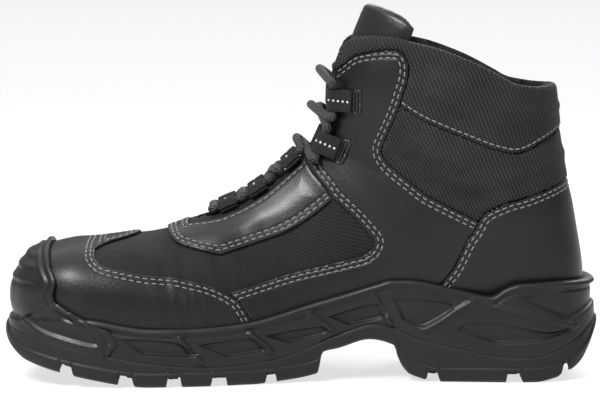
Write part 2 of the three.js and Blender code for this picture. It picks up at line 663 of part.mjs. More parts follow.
const counterPoints = sideView(
  COUNTER_TOP,
  COUNTER_FRONT,
  [final(COUNTER_FRONT), [first(COUNTER_TOP)[0], FAR_DOWN]],
);
const collarPoints = sideView(
  COLLAR_SEAM,
  [final(COLLAR_SEAM), [FAR_BACK, final(COLLAR_SEAM)[1]]],
  [[FAR_BACK, FAR_UP], [first(FACING_TOP)[0], FAR_UP]],
  [[first(FACING_TOP)[0], FAR_UP], [first(FACING_TOP)[0], first(COLLAR_SEAM)[1]]],
);
const UNDER_ANKLE_PAD = [0.376, 0.360];
const anklePoints = sideView(
  COLLAR_SEAM,
  [final(COLLAR_SEAM), [FAR_BACK, final(COLLAR_SEAM)[1]]],
  [[FAR_BACK, UNDER_ANKLE_PAD[1]], UNDER_ANKLE_PAD],
  [UNDER_ANKLE_PAD, [UNDER_ANKLE_PAD[0], first(COLLAR_SEAM)[1]]],
);
const capPoints = sideView(CAP_REAR, CAP_CORNER);

const LEATHER_MARGIN = 1.2;     // leather stops this far short of the textile's edge
const openings = sidePrism(throatPoints).add(sidePrism(overCollarPoints));
const openingsWide = sidePrism(grown(throatPoints, LEATHER_MARGIN))
  .add(sidePrism(grown(overCollarPoints, LEATHER_MARGIN)));

// Lower edge of the scuff cap follows the outsole's wrap line
const soleLine = (along, table) => new THREE.Vector2(alongToX(along), soleUp(table, alongToX(along)) + GAP);
const capRegionPoints = [
  ...capPoints,
  ...soleStations.filter((along) => along > first(CAP_CORNER)[0]).map((along) => soleLine(along, WRAP_LINE)),
  new THREE.Vector2(FAR_X.toe, soleLine(1, WRAP_LINE).y),
  new THREE.Vector2(FAR_X.toe, upToZ(first(CAP_REAR)[1])),
];
const capRegion = sidePrism(capRegionPoints);
const capRegionWide = sidePrism(grown(capRegionPoints, 2 * GAP));

// Side of the last's instep line at a share along, which leans with the toe
function ridgeSide(along) {
  const i = LAST.findIndex((row) => row.topAlong < along);
  const [before, after] = [LAST[i - 1], LAST[i]];
  const share = (before.topAlong - along) / (before.topAlong - after.topAlong);
  return (before.swing + share * (after.swing - before.swing)) * BALL_WIDTH;
}

// The vamp seen from the side, with its tongue over the toe
function vampRegion() {
  const edge = (side) => VAMP_TONGUE.map(([along, half]) => (
    new THREE.Vector2(alongToX(along), ridgeSide(along) + side * half * BALL_WIDTH)
  ));
  const tip = new THREE.Vector2(alongToX(VAMP_TONGUE_TIP), ridgeSide(VAMP_TONGUE_TIP));
  const tongue = [...edge(-1), tip, ...edge(1).reverse()];
  return sidePrism(vampPoints).add(planPrism(tongue, upToZ(first(VAMP_SIDE)[1]) / 2, upToZ(1)));
}

// Lined textile shell: open at the collar, down the throat and under the foot
const UNDERFOOT_TOP = 0.12;     // share of UPPER_HEIGHT that the opening underfoot is cut up to
function upperSolid() {
  const inside = lastForm(-LINING_WALL);
  const soleOpening = soleOutline(-LASTING_MARGIN - leatherOut);
  const underfoot = planPrism(soleOpening, 0, upToZ(UNDERFOOT_TOP));
  return base.subtract(inside).subtract(openings).subtract(underfoot);
}

// A leather or textile layer on the shell, cut from between two forms
function layer(region, thickness, covers) {
  const under = lastForm(GAP);
  const band = lastForm(GAP + thickness).subtract(under).subtract(openingsWide).intersect(region);
  return covers.reduce((piece, above) => piece.subtract(sidePrism(grown(above, GAP))), band);
}

const CAP_PANEL_DEPTH = 0.9;    // moulded panel in the cap's side
const scuffOut = GAP + VAMP_LEATHER + GAP;
function scuffCapSolid() {
  const body = lastForm(scuffOut + CAP_WALL).add(soleForm(GAP)).intersect(capRegion);
  const core = lastForm(scuffOut).add(soleForm(-SOLE_SKIN + 2 * GAP));
  const panel = sidePrism(sideView([...CAP_PANEL, CAP_PANEL[0]]));
  const floor = lastForm(scuffOut + CAP_WALL - CAP_PANEL_DEPTH).add(soleForm(GAP - CAP_PANEL_DEPTH));
  const sunk = panel.subtract(floor);
  return body.subtract(core).subtract(sunk);
}

// Outsole region: all of the sole below its parting line, which rises round the toe and the heel
const outsoleRegion = (gap) => below((x) => soleUp(WRAP_LINE, x) + gap);

function midsoleSolid() {
  const rimToZ = (up) => up * RIM_HEIGHT;
  const recesses = [...SIDE_RECESSES, HEEL_VENT].map((run) => sidePrism(outlinePoints([[...run, run[0]]], rimToZ)));
  const ribs = SIDE_RIBS.map(([from, to]) => {
    const [a, b] = [from, to].map(([along, up]) => new THREE.Vector2(alongToX(along), rimToZ(up)));
    const across = new THREE.Vector2(a.y - b.y, b.x - a.x).normalize().multiplyScalar(RIB_WIDTH / 2);
    return sidePrism([a.clone().add(across), b.clone().add(across), b.clone().sub(across), a.clone().sub(across)]);
  });
  const sunk = joined(recesses).subtract(soleRecess);
  const raised = joined(ribs).intersect(soleForm(RIB_HEIGHT)).subtract(soleForm(-SOLE_SKIN / 2));
  const capRoom = capRegionWide.intersect(lastForm(scuffOut + CAP_WALL + GAP));
  const capSeat = capRegionWide.subtract(soleForm(-SOLE_SKIN)).add(capRoom);
  return soleOuter.subtract(sunk).add(raised).subtract(capSeat).subtract(cavity).subtract(outsoleRegion(GAP));
}

// Grooves of the tread, cut to the lugs' depth
function treadGrooves() {
  const slot = (x, y, length, width, turn = 0) => {
    const top = soleUp(GROUND_LINE, x) + LUG_DEPTH;
    const shape = new THREE.BoxGeometry(length, width, top + LUG_DEPTH);
    shape.rotateZ(turn);
    shape.translate(x, y, (top - LUG_DEPTH) / 2);
    return solid(shape);
  };
  const edges = EDGE_GROOVES.flatMap(({ along, width }) => [true, false].map((innerSide) => {
    const { x, y } = solePlan(along, innerSide);
    return slot(x, y, width, 2 * EDGE_LUG_REACH);
  }));
  const chevrons = CENTRE_GROOVES.flatMap(({ along, lean }) => [-1, 1].map((side) => {
    const middle = columnAt(SOLE_SWING, 'side', along) * BALL_WIDTH;
    const half = solePlan(along, false).y - middle - EDGE_LUG_REACH;
    const turn = side * THREE.MathUtils.degToRad(90 - lean);
    return slot(alongToX(along), middle + (side * half) / 2, half + CHANNEL, CENTRE_GROOVE_WIDTH, turn);
  }));
  const coarse = (out) => soleOutline(out).filter((point, i) => i % 2 === 0);
  const channelOuter = planPrism(coarse(-EDGE_LUG_REACH), -1, LUG_DEPTH);
  const channelInner = planPrism(coarse(-EDGE_LUG_REACH - CHANNEL), -1, LUG_DEPTH);
  return joined([...edges, ...chevrons, channelOuter.subtract(channelInner)]);
}

function outsoleSolid() {
  return soleOuter.intersect(outsoleRegion(0)).subtract(cavity).subtract(treadGrooves());
}

// Side view of the bed under the foot, between two heights above the upper's underside
const BED_ROWS = { from: 2, to: 16 };
function bedPoints(low, high) {
  const rows = LAST.slice(BED_ROWS.from, BED_ROWS.to);
  const line = (rise) => rows.map((row) => new THREE.Vector2(alongToX(row.lowAlong), upToZ(row.lowUp) + rise));
  return [...line(low), ...line(high).reverse()];
}

function insoleSolid() {
  const room = lastForm(-LINING_WALL - GAP);
  return room.intersect(sidePrism(bedPoints(-LINING_WALL, LINING_WALL + GAP + INSOLE_THICKNESS)));
}

// Padded tongue under the throat, from the vamp to above the collar, where its sides wrap round the ankle
const TONGUE_THIN = 0.6;        // padding at the ends of the tongue, as a share of its middle
function tongueSolid() {
  const [start, end] = [TONGUE_START, LAST.length - 1];
  const rows = [];
  for (let row = start; row <= end; row++) {
    const share = (row - start) / (end - start);
    const spread = TONGUE_SPREAD.low + (TONGUE_SPREAD.high - TONGUE_SPREAD.low) * share ** 2;
    const pad = TONGUE_PAD * (TONGUE_THIN + (1 - TONGUE_THIN) * Math.sin(Math.PI * share));
    const across = Array.from({ length: 2 * TONGUE_RIBS + 1 }, (_, k) => 1 - k / TONGUE_RIBS);
    const sink = (side) => (
      -LINING_WALL - TONGUE_EASE - TONGUE_DIP * (1 - side ** 2) * (1 - share ** 3) - TONGUE_LEAN * share ** 3
    );
    const face = across.map((side) => offsetPoint(row, spread * side, sink(side)));
    const back = [...across].reverse().map((side) => offsetPoint(row, spread * side, sink(side) - pad));
    rows.push([...face, ...back]);
  }
  const [front, rear] = [first(TONGUE_TOP), final(TONGUE_TOP)];
  const trim = sideView(
    TONGUE_TOP,
    [rear, [0, rear[1]]],
    [[0, FAR_UP], [front[0], FAR_UP]],
  );
  return solid(loft(rows)).subtract(sidePrism(trim));
}

// Position on the instep line where it has a given height, as a share of UPPER_HEIGHT
const HALVINGS = 30;
const INSTEP_START = 6;
function positionAtUp(up) {
  let [low, high] = [INSTEP_START, LAST.length - 1];
  for (let n = 0; n < HALVINGS; n++) {
    const middle = (low + high) / 2;
    if (lastRow(middle).topUp < up) low = middle;
    else high = middle;
  }
  return low;
}

// Turn at which the surface of a section is a given distance from the boot's centre plane
function turnAtSide(position, side) {
  let [low, high] = [0, 0.25];
  for (let n = 0; n < HALVINGS; n++) {
    const middle = (low + high) / 2;
    if (Math.abs(lastPoint(position, middle).y - lastPoint(position, 0).y) < side) low = middle;
    else high = middle;
  }
  return low;
}

// Share of the throat's edge, from its front, where it has a given height
const throatPlaces = THROAT_EDGE.map(([along, up]) => new THREE.Vector2(alongToX(along), upToZ(up)));
const throatCurve = new THREE.SplineCurve(throatPlaces);
function throatShare(up) {
  let [low, high] = [0, 1];
  for (let n = 0; n < HALVINGS; n++) {
    const middle = (low + high) / 2;
    if (throatCurve.getPoint(middle).y < upToZ(up)) low = middle;
    else high = middle;
  }
  return low;
}

// Frame of a loop that stands on the throat's cut edge: the eye's centre, out of the boot, down the side and
// up along the throat, and how far the strap reaches
const EYE_RING = EYE_RADIUS + WEBBING;
const EYE_HEIGHT = EYE_RADIUS * EYE_SQUASH + WEBBING;
function edgeFrame({ up, side, end }, sign) {
  const share = throatShare(up);
  const [place, tangent] = [throatCurve.getPoint(share), throatCurve.getTangent(share)];
  const run = new THREE.Vector3(tangent.x, 0, tangent.y);
  const out = new THREE.Vector3(-tangent.y, 0, tangent.x);
  const down = new THREE.Vector3(0, -sign, 0);
  const eye = new THREE.Vector3(place.x, -sign * side, place.y).addScaledVector(out, GAP + EDGE_REST + EYE_HEIGHT);
  return { eye, out, down, run, reach: end - side };
}

// The same for a loop whose strap lies on the leather
function leatherFrame({ up, side, end, lean }, sign) {
  const position = positionAtUp(up);
  const eyeTurn = sign * turnAtSide(position, side);
  const endTurn = sign * turnAtSide(position + lean, end);
  const rest = GAP + QUARTER_LEATHER + STRAP_REST;
  const seat = offsetPoint(position, eyeTurn, rest);
  const down = offsetPoint(position + lean, endTurn, rest).sub(seat);
  const reach = down.length();
  down.normalize();
  const surface = lastNormal(position, (eyeTurn + endTurn) / 2);
  const run = new THREE.Vector3().crossVectors(surface, down).normalize();
  if (run.z < 0) run.negate();
  const out = new THREE.Vector3().crossVectors(down, run).normalize();
  if (out.dot(surface) < 0) out.negate();
  return { eye: seat.addScaledVector(out, EYE_HEIGHT), out, down, run, reach };
}

function loopFrame(loop, innerSide) {
  const sign = innerSide ? 1 : -1;
  return loop.onEdge ? edgeFrame(loop, sign) : leatherFrame(loop, sign);
}

// Webbing loop: a flat strap of two layers that opens into an eye at the throat
const EYE_SIDES = 5;
function laceLoopSolid(loop, innerSide) {
  const { eye, out, down, reach } = loopFrame(loop, innerSide);
  const tip = new THREE.Vector2(reach, 2 * WEBBING - EYE_HEIGHT);
  const round = new THREE.Vector2(tip.x, (tip.y * EYE_RING) / EYE_HEIGHT);
  const touch = round.angle() - 2 * Math.PI + Math.acos(EYE_RING / round.length());
  const outline = new THREE.Shape();
  outline.moveTo(tip.x, tip.y);
  outline.absellipse(0, 0, EYE_RING, EYE_HEIGHT, touch, (3 * Math.PI) / 2, false);
  outline.lineTo(reach, -EYE_HEIGHT);
  outline.holes.push(new THREE.Path().absellipse(0, 0, EYE_RADIUS, EYE_HEIGHT - WEBBING, 0, 2 * Math.PI, true));
  const strap = { depth: loop.width, bevelEnabled: false, curveSegments: EYE_SIDES };
  const geometry = new THREE.ExtrudeGeometry(outline, strap);
  geometry.translate(0, 0, -loop.width / 2);
  const side = new THREE.Vector3().crossVectors(down, out);
  geometry.applyMatrix4(new THREE.Matrix4().makeBasis(down, out, side));
  geometry.translate(eye.x, eye.y, eye.z);
  return solid(geometry);
}

// Round lace along a smooth path
const LACE_SIDES = 3;
const LACE_STEPS = 6;
function laceTube(points) {
  const circle = new THREE.Shape().absarc(0, 0, LACE_DIAMETER / 2, 0, 2 * Math.PI, false);
  const extrudePath = new THREE.CatmullRomCurve3(points);
  const sweep = { steps: LACE_STEPS, curveSegments: LACE_SIDES, extrudePath, bevelEnabled: false };
  return solid(new THREE.ExtrudeGeometry(circle, sweep));
}

// Two points where the lace leaves a loop's eye, above it or below it along the throat
function eyeExit(loop, innerSide, above) {
  const { eye, out, run } = loopFrame(loop, innerSide);
  const upward = above ? 1 : -1;
  const near = loop.width / 2 + EYE_CLEARANCE;
  const exit = eye.clone().addScaledVector(run, upward * near);
  const lift = loop.onEdge ? EYE_LIFT.onEdge : EYE_LIFT.onLeather;
  return [exit, exit.clone().addScaledVector(run, upward * EYE_RUN).addScaledVector(out, lift)];
}

// Height of a loop's place on the instep line, as a share of UPPER_HEIGHT
function instepUp(loop) {
  if (!loop.onEdge) return loop.up;
  const { eye } = loopFrame(loop, true);
  let [low, high] = [INSTEP_START, LAST.length - 1];
  for (let n = 0; n < HALVINGS; n++) {
    const middle = (low + high) / 2;
    if (alongToX(lastRow(middle).topAlong) < eye.x) low = middle;
    else high = middle;
  }
  return lastRow(low).topUp;
}

// Point over the middle of the tongue at a height on the instep line
function overTongue(up, lift) {
  const position = positionAtUp(up);
  return lastPoint(position, 0).addScaledVector(lastNormal(position, 0), lift);
}

// Two runs of lace that cross over the tongue between neighbouring pairs of loops
function laceCrossingSolid(lower, upper) {
  const up = (instepUp(lower) + instepUp(upper)) / 2;
  const run = (fromInner, rise) => {
    const [from, on] = eyeExit(lower, fromInner, true);
    const [to, off] = eyeExit(upper, !fromInner, false);
    return laceTube([from, on, overTongue(up, lower.over + rise), off, to]);
  };
  return run(true, LACE_DIAMETER * LACE_NEST).add(run(false, -LACE_DIAMETER * LACE_NEST));
}

// The lace over the tongue above the top loops, or below the lowest
function laceBarSolid(loop, above) {
  const [near, next] = eyeExit(loop, true, above);
  const [far, beyond] = eyeExit(loop, false, above);
  const up = instepUp(loop);
  const middle = above ? overTongue(up + BAR_RISE, BAR_LIFT) : overTongue(up - LOW_BAR_DROP, LOW_BAR_LIFT);
  return laceTube([near, next, middle, beyond, far]);
}

const group = new THREE.Group();

// Adds a piece with its material
function addPiece(name, body, { colour, roughness }) {
  const mesh = body.getMesh();
  const geometry = new THREE.BufferGeometry();
  geometry.setAttribute('position', new THREE.BufferAttribute(mesh.vertProperties, 3));
  geometry.setIndex(new THREE.BufferAttribute(mesh.triVerts, 1));
  geometry.computeVertexNormals();
  const piece = new THREE.Mesh(geometry, new THREE.MeshStandardMaterial({ color: colour, roughness }));
  piece.name = name;
  group.add(piece);
}

const LEATHER = { colour: 0x2b2b2e, roughness: 0.45 };
const TEXTILE = { colour: 0x1f2020, roughness: 0.9 };
const RUBBER = { colour: 0x303031, roughness: 0.55 };
const regions = Object.fromEntries(Object.entries({
  facing: facingPoints, quarter: quarterPoints, counter: counterPoints, ankle: anklePoints, collar: collarPoints,
}).map(([name, points]) => [name, sidePrism(points)]));

addPiece('outsole', outsoleSolid(), RUBBER);
addPiece('midsole', midsoleSolid(), RUBBER);
addPiece('toe_scuff_cap', scuffCapSolid(), RUBBER);
addPiece('upper', upperSolid(), TEXTILE);
addPiece('vamp', layer(vampRegion(), VAMP_LEATHER, []), LEATHER);
addPiece('facing', layer(regions.facing, FACING_LEATHER, [quarterPoints]), LEATHER);
addPiece('quarter', layer(regions.quarter, QUARTER_LEATHER, [vampPoints, counterPoints]), LEATHER);
addPiece('heel_counter', layer(regions.counter, COUNTER_LEATHER, []), LEATHER);
addPiece('ankle_pad', layer(regions.ankle, ANKLE_PAD, [quarterPoints, counterPoints, collarPoints]), TEXTILE);
addPiece('collar_pad', layer(regions.collar, COLLAR_PAD, [quarterPoints]), TEXTILE);
addPiece('tongue', tongueSolid(), LEATHER);
addPiece('insole', insoleSolid(), TEXTILE);

addPiece('lace_bar_low', laceBarSolid(first(LACE_LOOPS), false), TEXTILE);
addPiece('lace_bar_top', laceBarSolid(final(LACE_LOOPS), true), TEXTILE);
LACE_LOOPS.slice(1).forEach((loop, i) => {
  addPiece(`lace_crossing_${i + 1}`, laceCrossingSolid(LACE_LOOPS[i], loop), TEXTILE);
});
LACE_LOOPS.forEach((loop, i) => {
  addPiece(`lace_loop_inner_${i + 1}`, laceLoopSolid(loop, true), TEXTILE);
  addPiece(`lace_loop_outer_${i + 1}`, laceLoopSolid(loop, false), TEXTILE);
});

export default group;
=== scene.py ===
"""A black safety boot for the right foot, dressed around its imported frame.

Shapes are worked out in millimetres in the frame's axes and turned into metres when a mesh is made:
the toe points along -X, the inner side of the foot faces -Y and the ground is at height 0.
Every part of the upper lies on one last, and every part of the sole on one sole form.
"""

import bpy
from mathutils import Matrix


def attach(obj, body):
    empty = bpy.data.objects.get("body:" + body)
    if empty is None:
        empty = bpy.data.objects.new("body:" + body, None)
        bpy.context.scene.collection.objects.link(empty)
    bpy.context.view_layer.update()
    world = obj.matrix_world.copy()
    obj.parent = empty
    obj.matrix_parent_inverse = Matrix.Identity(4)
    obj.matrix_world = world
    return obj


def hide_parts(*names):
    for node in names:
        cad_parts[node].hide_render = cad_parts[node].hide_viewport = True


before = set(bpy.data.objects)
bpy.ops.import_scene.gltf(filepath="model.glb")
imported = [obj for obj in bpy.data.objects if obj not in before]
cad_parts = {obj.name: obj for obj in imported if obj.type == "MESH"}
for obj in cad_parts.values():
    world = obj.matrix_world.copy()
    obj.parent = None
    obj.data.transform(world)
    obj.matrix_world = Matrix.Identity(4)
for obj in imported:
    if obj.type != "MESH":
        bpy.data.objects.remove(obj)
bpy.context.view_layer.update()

import logging
import math
from dataclasses import dataclass, field
from enum import Enum
from typing import Callable, Iterable, Sequence

import bmesh
import bpy
import numpy as np
from mathutils import Matrix, Vector
from mathutils.bvhtree import BVHTree

LOG = logging.getLogger("safety_boot")
MM = 0.001
ROOT = "root"

Pairs = Sequence[tuple[float, float]]

# Overall sizes of the boot
LENGTH = 312.0
HEEL_REACH = 54.0
BALL_WIDTH = 108.0
BED_HEIGHT = 17.0
UPPER_HEIGHT = 168.0
RIM_HEIGHT = 54.0

# Walls and layers, from the lining outwards
GAP = 0.3
LINING_WALL = 2.4
VAMP_LEATHER = 1.4
FACING_LEATHER = 1.5
QUARTER_LEATHER = 1.8
COUNTER_LEATHER = 2.1
CAP_WALL = 2.1
ANKLE_PAD = 2.6
COLLAR_PAD = 3.4
TONGUE_PAD = 5.0
TONGUE_EASE = 1.1
TONGUE_DIP = 4.6
TONGUE_LEAN = 2.5
TONGUE_START = 8
TONGUE_SPREAD = (0.105, 0.200)
TONGUE_THIN = 0.6
INSOLE_THICKNESS = 4.0
LUG_DEPTH = 5.6
EDGE_LUG_REACH = 21.0
CHANNEL = 5.0
RECESS_DEPTH = 1.7
RIB_HEIGHT = 1.1
RIB_WIDTH = 2.6

# Lacing
LACE_DIAMETER = 4.6
WEBBING = 1.1
EDGE_REST = 0.2
STRAP_REST = 0.9
EYE_RADIUS = LACE_DIAMETER / 2 + GAP
EYE_SQUASH = 0.72
EYE_RING = EYE_RADIUS + WEBBING
EYE_HEIGHT = EYE_RADIUS * EYE_SQUASH + WEBBING
LACE_SIDES = 14
LACE_YARNS = 12
BAR_RISE = 0.045
LOW_BAR_DROP = 0.018
BAR_LIFT = 4.2
LOW_BAR_LIFT = 0.3

# Mesh pitch of the dressed surfaces
LEATHER_CELL = 1.05
TEXTILE_CELL = 1.7
SOLE_CELL = 0.9

# Sections of the last, from the toe tip to above the collar: top along and up, low along and up, inner and
# outer half width, swing of the middle, where it is widest down the section, powers of crown and base
LAST_ROWS = np.array([
    (0.984, 0.155, 0.984, 0.155, 0.000, 0.000, -0.074, 0.50, 2.00, 2.0),
    (0.980, 0.199, 0.979, 0.119, 0.124, 0.124, -0.074, 0.50, 2.10, 2.3),
    (0.971, 0.238, 0.969, 0.089, 0.194, 0.191, -0.071, 0.51, 2.20, 2.6),
    (0.956, 0.276, 0.952, 0.065, 0.269, 0.259, -0.066, 0.53, 2.40, 3.0),
    (0.928, 0.300, 0.923, 0.048, 0.341, 0.328, -0.059, 0.56, 2.60, 3.5),
    (0.887, 0.317, 0.881, 0.032, 0.396, 0.380, -0.050, 0.61, 2.70, 4.0),
    (0.835, 0.326, 0.829, 0.018, 0.420, 0.408, -0.040, 0.66, 2.60, 4.0),
    (0.777, 0.343, 0.768, 0.007, 0.427, 0.425, -0.030, 0.72, 2.40, 4.0),
    (0.719, 0.363, 0.694, 0.000, 0.420, 0.440, -0.019, 0.75, 2.20, 4.0),
    (0.661, 0.412, 0.613, 0.004, 0.388, 0.434, -0.009, 0.76, 2.05, 4.0),
    (0.613, 0.457, 0.535, 0.024, 0.338, 0.400, 0.000, 0.75, 1.95, 4.0),
    (0.569, 0.512, 0.461, 0.057, 0.302, 0.360, 0.000, 0.73, 1.90, 4.0),
    (0.529, 0.570, 0.371, 0.093, 0.290, 0.328, 0.000, 0.70, 1.90, 3.9),
    (0.498, 0.630, 0.261, 0.101, 0.296, 0.314, 0.000, 0.66, 1.95, 3.6),
    (0.482, 0.685, 0.139, 0.101, 0.305, 0.310, 0.000, 0.61, 2.00, 3.2),
    (0.474, 0.732, 0.058, 0.119, 0.312, 0.312, 0.000, 0.58, 2.05, 2.8),
    (0.468, 0.774, 0.029, 0.196, 0.322, 0.322, 0.000, 0.55, 2.10, 2.5),
    (0.457, 0.857, 0.043, 0.399, 0.352, 0.352, 0.000, 0.52, 2.20, 2.3),
    (0.443, 0.937, 0.066, 0.613, 0.355, 0.355, 0.000, 0.50, 2.20, 2.3),
    (0.426, 1.018, 0.079, 0.804, 0.356, 0.356, 0.000, 0.50, 2.20, 2.3),
    (0.406, 1.125, 0.087, 0.990, 0.354, 0.354, 0.000, 0.50, 2.20, 2.3),
])

# Plan of the sole: along, inner and outer half width, and how much narrower it is at the ground
SOLE_PLAN = np.array([
    (0.00, 0.352, 0.352, 0.000),
    (0.14, 0.358, 0.362, 0.000),
    (0.26, 0.350, 0.368, 0.010),
    (0.38, 0.354, 0.400, 0.040),
    (0.48, 0.374, 0.434, 0.036),
    (0.58, 0.426, 0.478, 0.012),
    (0.68, 0.476, 0.510, 0.000),
    (0.76, 0.492, 0.504, 0.000),
    (0.84, 0.492, 0.476, 0.000),
    (0.92, 0.486, 0.446, 0.000),
    (1.00, 0.472, 0.426, 0.000),
])
SOLE_SWING = np.array([(0.00, 0.000), (0.55, 0.000), (0.80, -0.022), (1.00, -0.074)])
TOE_ROUND = (0.215, 2.35)
HEEL_ROUND = (0.135, 2.3)

# Side lines of the sole: along as a share of the length, up as a share of the rim's height
GROUND_LINE = np.array([
    (0.000, 0.440), (0.013, 0.285), (0.029, 0.165), (0.046, 0.100), (0.074, 0.032), (0.106, 0.000),
    (0.270, 0.000), (0.317, 0.065), (0.329, 0.130), (0.339, 0.240), (0.345, 0.350), (0.386, 0.407),
    (0.437, 0.326), (0.465, 0.285), (0.474, 0.080), (0.539, 0.018), (0.584, 0.000), (0.752, 0.000),
    (0.797, 0.022), (0.848, 0.072), (0.900, 0.130), (0.945, 0.192), (0.971, 0.240), (0.990, 0.325),
    (1.000, 0.440),
])
WRAP_LINE = np.array([
    (0.000, 0.595), (0.013, 0.525), (0.036, 0.415), (0.068, 0.318), (0.113, 0.248), (0.158, 0.252),
    (0.239, 0.338), (0.316, 0.450), (0.348, 0.537), (0.381, 0.570), (0.415, 0.515), (0.457, 0.422),
    (0.496, 0.320), (0.561, 0.230), (0.650, 0.188), (0.757, 0.240), (0.848, 0.345), (0.900, 0.415),
    (0.935, 0.480), (0.970, 0.525), (1.000, 0.555),
])
RIM_LINE = np.array([
    (0.000, 0.950), (0.060, 0.965), (0.135, 0.950), (0.158, 0.910), (0.183, 0.830), (0.240, 0.895),
    (0.325, 0.985), (0.350, 0.985), (0.372, 0.950), (0.435, 0.840), (0.496, 0.740), (0.540, 0.660),
    (0.583, 0.600), (0.626, 0.567), (0.693, 0.548), (0.752, 0.552), (0.796, 0.585), (0.848, 0.640),
    (0.900, 0.650), (1.000, 0.610),
])
SOLE_WALL = np.array([(0.00, -2.0), (0.22, 0.0), (1.00, -1.2)])

# Side outlines of the upper's pieces: along as a share of the length, up as a share of the upper's height
FAR_UP = 1.4
FAR_DOWN = -0.15
FAR_BACK = -0.2
FAR_FRONT = 1.1
VAMP_SIDE = (
    (0.847, 0.330), (0.847, 0.298), (0.839, 0.278), (0.826, 0.267), (0.792, 0.254), (0.757, 0.242),
    (0.714, 0.235), (0.670, 0.217), (0.648, 0.204), (0.624, 0.183),
)
VAMP_REAR = ((0.624, 0.183), (0.606, 0.159), (0.594, 0.127), (0.583, 0.090), (0.576, 0.060), (0.570, 0.020), (0.566, FAR_DOWN))
FACING_TOP = ((0.498, 0.600), (0.481, 0.551), (0.459, 0.503), (0.448, 0.471))
FACING_LOW = ((0.448, 0.471), (0.479, 0.424), (0.511, 0.384), (0.543, 0.357), (0.588, 0.329), (0.635, 0.303))
FACING_FRONT = (
    (0.635, 0.303), (0.672, 0.315), (0.703, 0.331), (0.715, 0.342), (0.726, 0.365), (0.731, 0.383),
    (0.731, 0.470),
)
THROAT_EDGE = (
    (0.690, 0.391), (0.677, 0.396), (0.641, 0.411), (0.603, 0.441), (0.566, 0.482), (0.535, 0.530), (0.504, 0.582),
    (0.489, 0.614), (0.473, 0.661), (0.463, 0.702), (0.456, 0.762), (0.451, 0.810), (0.448, 0.857), (0.442, 0.891),
)
COLLAR_LINE = (
    (0.442, 0.891), (0.435, 0.925), (0.423, 0.958), (0.396, 0.974), (0.369, 0.975), (0.343, 0.970),
    (0.316, 0.958), (0.279, 0.942), (0.245, 0.920), (0.209, 0.892), (0.166, 0.850), (0.149, 0.832),
    (0.133, 0.824), (0.108, 0.818), (0.085, 0.818), (0.060, 0.822), (0.030, 0.816),
)
TEXTILE_LOW = (
    (0.624, 0.183), (0.583, 0.204), (0.518, 0.239), (0.457, 0.265), (0.414, 0.285), (0.397, 0.294),
    (0.383, 0.313), (0.378, 0.336), (0.382, 0.351), (0.407, 0.403), (0.430, 0.443), (0.448, 0.471),
)
QUARTER_TOP = (
    (0.448, 0.860), (0.432, 0.886), (0.412, 0.915), (0.381, 0.930), (0.351, 0.935), (0.335, 0.926),
    (0.326, 0.901), (0.324, 0.873), (0.326, 0.841), (0.334, 0.793), (0.340, 0.756), (0.351, 0.705),
    (0.363, 0.652), (0.368, 0.620), (0.361, 0.589), (0.347, 0.563), (0.330, 0.538), (0.304, 0.500),
    (0.287, 0.478), (0.205, 0.402),
)
COUNTER_FRONT = (
    (0.205, 0.402), (0.211, 0.377), (0.223, 0.345), (0.234, 0.301), (0.247, 0.252), (0.263, 0.213),
    (0.276, 0.176), (0.290, 0.135), (0.300, FAR_DOWN),
)
COUNTER_TOP = (
    (-0.040, 0.540), (0.045, 0.524), (0.056, 0.519), (0.085, 0.500), (0.125, 0.476), (0.159, 0.459),
    (0.193, 0.430), (0.205, 0.402),
)
COLLAR_SEAM = (
    (0.337, 0.762), (0.304, 0.724), (0.263, 0.690), (0.230, 0.666), (0.188, 0.635), (0.155, 0.618),
    (0.142, 0.617), (0.123, 0.625), (0.091, 0.654), (0.062, 0.683), (0.020, 0.720),
)
TONGUE_TOP = (
    (0.466, 0.985), (0.425, 1.022), (0.402, 1.054), (0.391, 1.064), (0.378, 1.063), (0.333, 1.027),
    (0.318, 1.006), (0.308, 0.975), (0.300, 0.900),
)
CAP_REAR = (
    (0.925, 0.480), (0.926, 0.330), (0.919, 0.270), (0.911, 0.240), (0.909, 0.215), (0.913, 0.190),
    (0.908, 0.162), (0.882, 0.132), (0.840, 0.092), (0.821, 0.078),
)
CAP_CORNER = ((0.821, 0.078), (0.811, 0.058), (0.806, 0.036), (0.814, 0.020))
CAP_PANEL = (
    (0.965, 0.106), (0.940, 0.140), (0.922, 0.146), (0.900, 0.130), (0.872, 0.102), (0.838, 0.046),
    (0.846, 0.030), (0.895, 0.050), (0.935, 0.072),
)
# The vamp's tongue over the toe in plan: along, and half width in millimetres
VAMP_TONGUE = ((0.852, 27.0), (0.847, 25.0), (0.838, 21.0), (0.818, 14.5), (0.796, 10.5), (0.783, 7.0), (0.777, 3.0))

# Relief of the sole's side, up as a share of the rim's height
SIDE_RECESSES = (
    ((0.800, 0.470), (0.716, 0.438), (0.674, 0.305), (0.752, 0.318), (0.768, 0.345)),
    ((0.674, 0.405), (0.586, 0.450), (0.560, 0.340), (0.622, 0.282)),
    ((0.562, 0.475), (0.474, 0.545), (0.462, 0.485), (0.520, 0.395)),
    ((0.455, 0.645), (0.375, 0.765), (0.360, 0.645), (0.420, 0.560)),
    ((0.346, 0.820), (0.248, 0.760), (0.293, 0.550), (0.330, 0.610)),
    ((0.242, 0.510), (0.224, 0.575), (0.175, 0.580), (0.090, 0.490), (0.050, 0.515), (0.070, 0.445),
     (0.112, 0.395), (0.176, 0.390)),
    ((0.138, 0.825), (0.078, 0.885), (-0.020, 0.925), (-0.020, 0.800), (0.046, 0.592)),
)
SIDE_RIBS = (
    ((0.704, 0.470), (0.668, 0.240)),
    ((0.586, 0.500), (0.552, 0.325)),
    ((0.487, 0.680), (0.450, 0.520)),
    ((0.380, 0.860), (0.352, 0.570)),
    ((0.296, 0.510), (0.212, 0.800)),
    ((0.192, 0.770), (0.042, 0.535)),
)
